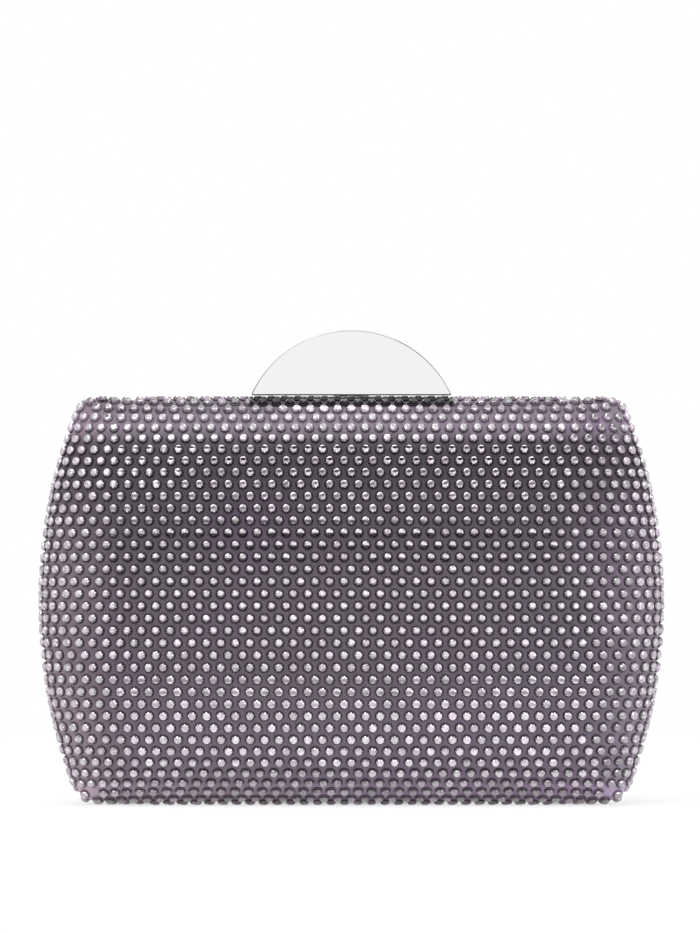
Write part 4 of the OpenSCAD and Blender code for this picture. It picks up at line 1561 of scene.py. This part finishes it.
@dataclass
class HalfMoonPlate:
    """The mirror plate of the clasp, with a rounded edge."""

    width: float = 53.2
    height: float = 17.3
    thick: float = 3.0
    low_z: float = 108.0
    bevel: float = 0.3
    corner: float = 0.32
    arc_steps: int = 96
    corner_steps: int = 6
    base_steps: int = 8
    round_steps: int = 4

    def outline(self, inset: float) -> Points:
        """The half moon's outline at a distance inside its edge, as X and Z."""
        radius = (self.width**2 / 4 + self.height**2) / (2 * self.height)
        centre = self.low_z + self.height - radius
        low, r, turn = self.low_z + inset, radius - inset, self.corner - inset
        in_z = low + turn
        in_x = math.sqrt((r - turn) ** 2 - (in_z - centre) ** 2)
        start = math.atan2(in_z - centre, in_x)
        angles = np.linspace(start, math.pi - start, self.arc_steps + 1)
        arc = np.stack([r * np.cos(angles), centre + r * np.sin(angles)], -1)
        left = np.linspace(math.pi - start, 1.5 * math.pi, self.corner_steps + 1)[1:]
        bend = np.stack([-in_x + turn * np.cos(left), in_z + turn * np.sin(left)], -1)
        base = np.linspace(bend[-1], bend[-1] * [-1, 1], self.base_steps + 1)[1:-1]
        return np.vstack([arc, bend, base, bend[::-1] * [-1, 1]])

    def build(self, mirror: bpy.types.Material) -> bpy.types.Object:
        """Makes the plate."""
        half, rings = self.thick / 2, []
        turns = np.linspace(0, math.pi / 2, self.round_steps + 1)
        front = [(self.bevel * (1 - math.sin(t)), -half + self.bevel * (1 - math.cos(t))) for t in turns]
        for inset, y in front + [(d, -y) for d, y in reversed(front)]:
            loop = self.outline(inset)
            rings.append(np.stack([loop[:, 0], np.full(len(loop), y), loop[:, 1]], -1))
        n = len(rings[0])
        faces: list[Sequence[int]] = [tuple(range(n))]
        for low in range(0, (len(rings) - 1) * n, n):
            faces += [(low + k, low + n + k, low + n + (k + 1) % n, low + (k + 1) % n) for k in range(n)]
        faces.append(tuple(range(len(rings) * n - 1, (len(rings) - 1) * n - 1, -1)))
        made = MeshMaker.build("half_moon_mirror", np.vstack(rings), faces, mirror)
        made.data.polygons[0].use_smooth = False
        made.data.polygons[len(made.data.polygons) - 1].use_smooth = False
        # The edge attribute marks the bevel, which the mirror's material paints with a darker painted
        # reflection and, below, painted shade
        edge = made.data.attributes.new("edge", "FLOAT", "FACE")
        edge.data.foreach_set("value", [0.0] + [1.0] * (len(faces) - 2) + [0.0])
        MeshMaker.outward(made)
        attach(made, "clasp")
        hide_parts("clasp_plate")
        LOG.info("half moon plate made")
        return made


@dataclass
class ReturnSpring:
    """The clasp's torsion spring, round the pivot pin."""

    radius: float = 1.3
    wire: float = 0.4
    turns: float = 3.75
    pitch: float = 0.86
    front_leg: float = 5.4
    drop: float = 0.6
    front_shares: Sequence[float] = (1.0, 0.824, 0.648, 0.472, 0.296, 0.12)
    lever_leg: float = 3.2
    lever_shares: Sequence[float] = (0.15, 0.3625, 0.575, 0.7875, 1.0)
    pivot_z: float = 103.4
    per_turn: int = 20
    sides: int = 10

    def path(self) -> Points:
        """The wire's middle line, from the leg under the bracket to the leg before the lever."""
        count = int(self.turns * self.per_turn)
        k = np.arange(count + 1)
        a = np.radians(90 - k * 360 / self.per_turn)
        span = self.turns * self.pitch
        coil = np.stack([k / count * span - span / 2, -self.radius * np.cos(a), -self.radius * np.sin(a)], -1)
        leg = coil[0] + np.outer(self.front_shares, [0, self.front_leg, -self.drop])
        tail = coil[-1] + np.outer(self.lever_shares, [0, 0, -self.lever_leg])
        line = np.vstack([leg, coil, tail])
        return line * [1, -1, 1] + [0, 0, self.pivot_z]

    def build(self, steel: bpy.types.Material) -> bpy.types.Object:
        """Makes the spring as one tube, which twists between the bracket's leg and the lever's."""
        line, points, faces = self.path(), [], []
        side = np.array([1.0, 0.0, 0.0])
        for k, spot in enumerate(line):
            way = line[min(k + 1, len(line) - 1)] - line[max(k - 1, 0)]
            u = np.cross(way, side)
            u /= np.linalg.norm(u)
            v = np.cross(u, way) / np.linalg.norm(way)
            for s in range(self.sides):
                a = 2 * math.pi * s / self.sides
                points.append(spot + self.wire / 2 * (u * math.cos(a) + v * math.sin(a)))
        n, last = self.sides, (len(line) - 1) * self.sides
        for low in range(0, last, n):
            faces += [(low + s, low + (s + 1) % n, low + n + (s + 1) % n, low + n + s) for s in range(n)]
        faces += [tuple(range(n)), tuple(range(last + n - 1, last - 1, -1))]
        made = MeshMaker.outward(MeshMaker.build("return_spring_wire", np.array(points), faces, steel))
        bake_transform(made)
        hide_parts("clasp_return_spring")
        LOG.info("return spring made")
        return made


@dataclass
class MetalParts:
    """The frames, hinges and the clasp's works, as bevelled copies of the CAD's nodes."""

    plated: bpy.types.Material
    lever: bpy.types.Material
    steel: bpy.types.Material
    plated_nodes: Sequence[tuple[str, float]] = (
        ("front_frame", 0.12), ("rear_frame", 0.12), ("clasp_bracket", 0.1),
        ("chain_lug_left", 0.12), ("chain_lug_right", 0.12),
    )
    steel_nodes: Sequence[tuple[str, float]] = (
        ("front_hinge_leaf_left", 0.08), ("front_hinge_leaf_right", 0.08),
        ("rear_hinge_leaf_left", 0.08), ("rear_hinge_leaf_right", 0.08), ("hinge_pin_left", 0.08),
        ("hinge_pin_right", 0.08), ("clasp_pin", 0.05), ("catch_spring", 0.06),
        ("front_hinge_rivets", 0.0), ("rear_hinge_rivets", 0.0), ("catch_rivets", 0.0),
        ("clasp_bracket_rivets", 0.0), ("clasp_plate_studs", 0.0),
    )

    def build(self, frame: dict[str, Any]) -> None:
        """Makes every copy."""
        for material, slot, nodes in (
            (self.plated, "plated_metal", self.plated_nodes),
            (self.lever, "plated_metal", [("clasp_lever", 0.12)]),
            (self.steel, "steel", self.steel_nodes),
        ):
            for node, bevel in nodes:
                MeshMaker.dressed(frame, node, material, bevel)
                LOG.info("%s dressed", node)


@dataclass
class Studio:
    """Plain pale floor, soft light and the camera, which stands where the photograph's stood.

    Lengths are in millimetres. A lamp has a name, a place and a size in metres, and its watts. The floor
    fades to white over distances in metres. The dip is how far below the floor something still shows through
    it, and the emptiness is what share of the room below has to be free for it to stay opaque.
    """

    distance: float = 1100.0
    case_width: float = 165.0
    width_px: float = 623.0
    image_px: float = 700.0
    below_centre_px: float = 133.5
    right_px: float = 1.3
    eye_z: float = 53.8
    sensor: float = 36.0
    dip: float = 30.0
    emptiness: Span = (0.95, 0.75)
    floor_half: float = 4000.0
    floor_fade: Band = (0.12, 0.6, 0.72, 1.0)
    floor_grey: float = 0.9
    room_light: float = 0.42
    lamps: Sequence[tuple[str, Triple, float, float]] = (
        ("key", (-0.55, -0.9, 0.95), 0.8, 9.0),
        ("fill", (0.8, -0.9, 0.35), 0.9, 5.0),
        ("top", (0.0, -0.2, 0.95), 0.7, 6.0),
        ("back", (0.1, 0.9, 0.6), 0.8, 5.0),
    )

    def camera(self) -> None:
        """Makes the camera."""
        scale = self.width_px / self.case_width * self.distance
        data = bpy.data.cameras.new("camera")
        data.sensor_fit = "HORIZONTAL"
        data.sensor_width = self.sensor
        data.lens = scale / self.image_px * self.sensor
        camera = bpy.data.objects.new("camera", data)
        camera.location = Vector((0, -self.distance, self.eye_z)) * MM
        tilt, pan = math.atan(self.below_centre_px / scale), math.atan(self.right_px / scale)
        camera.rotation_euler = (math.pi / 2 + tilt, 0, pan)
        bpy.context.scene.collection.objects.link(camera)
        bpy.context.scene.camera = camera

    def lamp(self, name: str, place: Sequence[float], size: float, watts: float) -> None:
        """Makes a soft square lamp that looks at the case."""
        data = bpy.data.lights.new(name, "AREA")
        data.size = size
        data.energy = watts
        lamp = bpy.data.objects.new(name, data)
        lamp.location = Vector(place)
        aim = Vector((0, 0, self.eye_z * MM)) - lamp.location
        lamp.rotation_euler = aim.to_track_quat("-Z", "Y").to_euler()
        bpy.context.scene.collection.objects.link(lamp)

    def world(self) -> None:
        """Lights the room evenly and shows it white."""
        g = Graph("room", room=True)
        seen = g.ray("Camera").most(g.ray("Glossy")).most(g.ray("Transmission"))
        strength = seen.step(0.0, 1.0, self.room_light, 1.0)
        values = {"Color": (1.0, 1.0, 1.0, 1.0), "Strength": strength}
        bpy.context.scene.world = g.finish(g.node("ShaderNodeBackground", values=values))

    def floor(self) -> None:
        """Lays the floor, white where it runs away and with a soft shadow by the case.

        It is clear where something lies close below it, so that the front half shows when it is swung down.
        """
        g = Graph("pale_floor")
        x, y = (g.part(g.place(), k) for k in (0, 1))
        paint = g.node("ShaderNodeBsdfDiffuse", values={"Color": (*[self.floor_grey] * 3, 1.0)})
        white = g.node("ShaderNodeEmission", values={"Color": (1.0, 1.0, 1.0, 1.0), "Strength": 1.0})
        far = g.ray("Camera").most(g.ray("Glossy")) * ((x * x + y * y) ** 0.5).step(*self.floor_fade)
        laid = g.node("ShaderNodeMixShader", values={0: far, 1: paint, 2: white})
        inwards = {"inside": True, "samples": 8}
        empty_below = g.node("ShaderNodeAmbientOcclusion", inwards, {"Distance": self.dip * MM}, out="AO")
        open_to = empty_below.step(*self.emptiness).most(g.node("ShaderNodeNewGeometry", out="Backfacing"))
        clear = g.node("ShaderNodeBsdfTransparent")
        material = g.finish(g.node("ShaderNodeMixShader", values={0: open_to, 1: laid, 2: clear}))
        corners = np.array([(-1, -1, 0), (1, -1, 0), (1, 1, 0), (-1, 1, 0)]) * self.floor_half
        floor = MeshMaker.build("floor", corners, [(0, 1, 2, 3)], material, smooth=False)
        floor.visible_shadow = False

    def build(self) -> None:
        """Sets the room up."""
        self.camera()
        self.world()
        self.floor()
        for lamp in self.lamps:
            self.lamp(*lamp)
        bpy.context.scene.view_settings.view_transform = "Standard"


def main() -> None:
    """Builds the clutch and its room."""
    logging.basicConfig(level=logging.INFO, format="%(name)s: %(message)s")
    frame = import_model()
    Studio().build()
    cloth, satin, board = MeshCloth().build(), Satin().build(), ShellBoard().build()
    plated, steel = Plating().build(), Steel().build()
    for side in Side:
        shell = frame["nodes"][f"{side.word}_shell"]
        shell.data.materials.clear()
        shell.data.materials.append(board)
    form = CaseForm()
    layout = CrystalLayout(form)
    LOG.info("%d crystals in each half", len(layout.places))
    CrystalSetting(layout, CutGlass().build(), CupMetal().build()).build()
    for side in Side:
        HalfSkin(form, side).build(cloth, satin)
    MetalParts(plated, Plating(name="lever_plating", shaded=True).build(), steel).build(frame)
    HalfMoonPlate().build(MirrorPlate().build())
    ReturnSpring().build(steel)


if __name__ == "__main__":
    main()
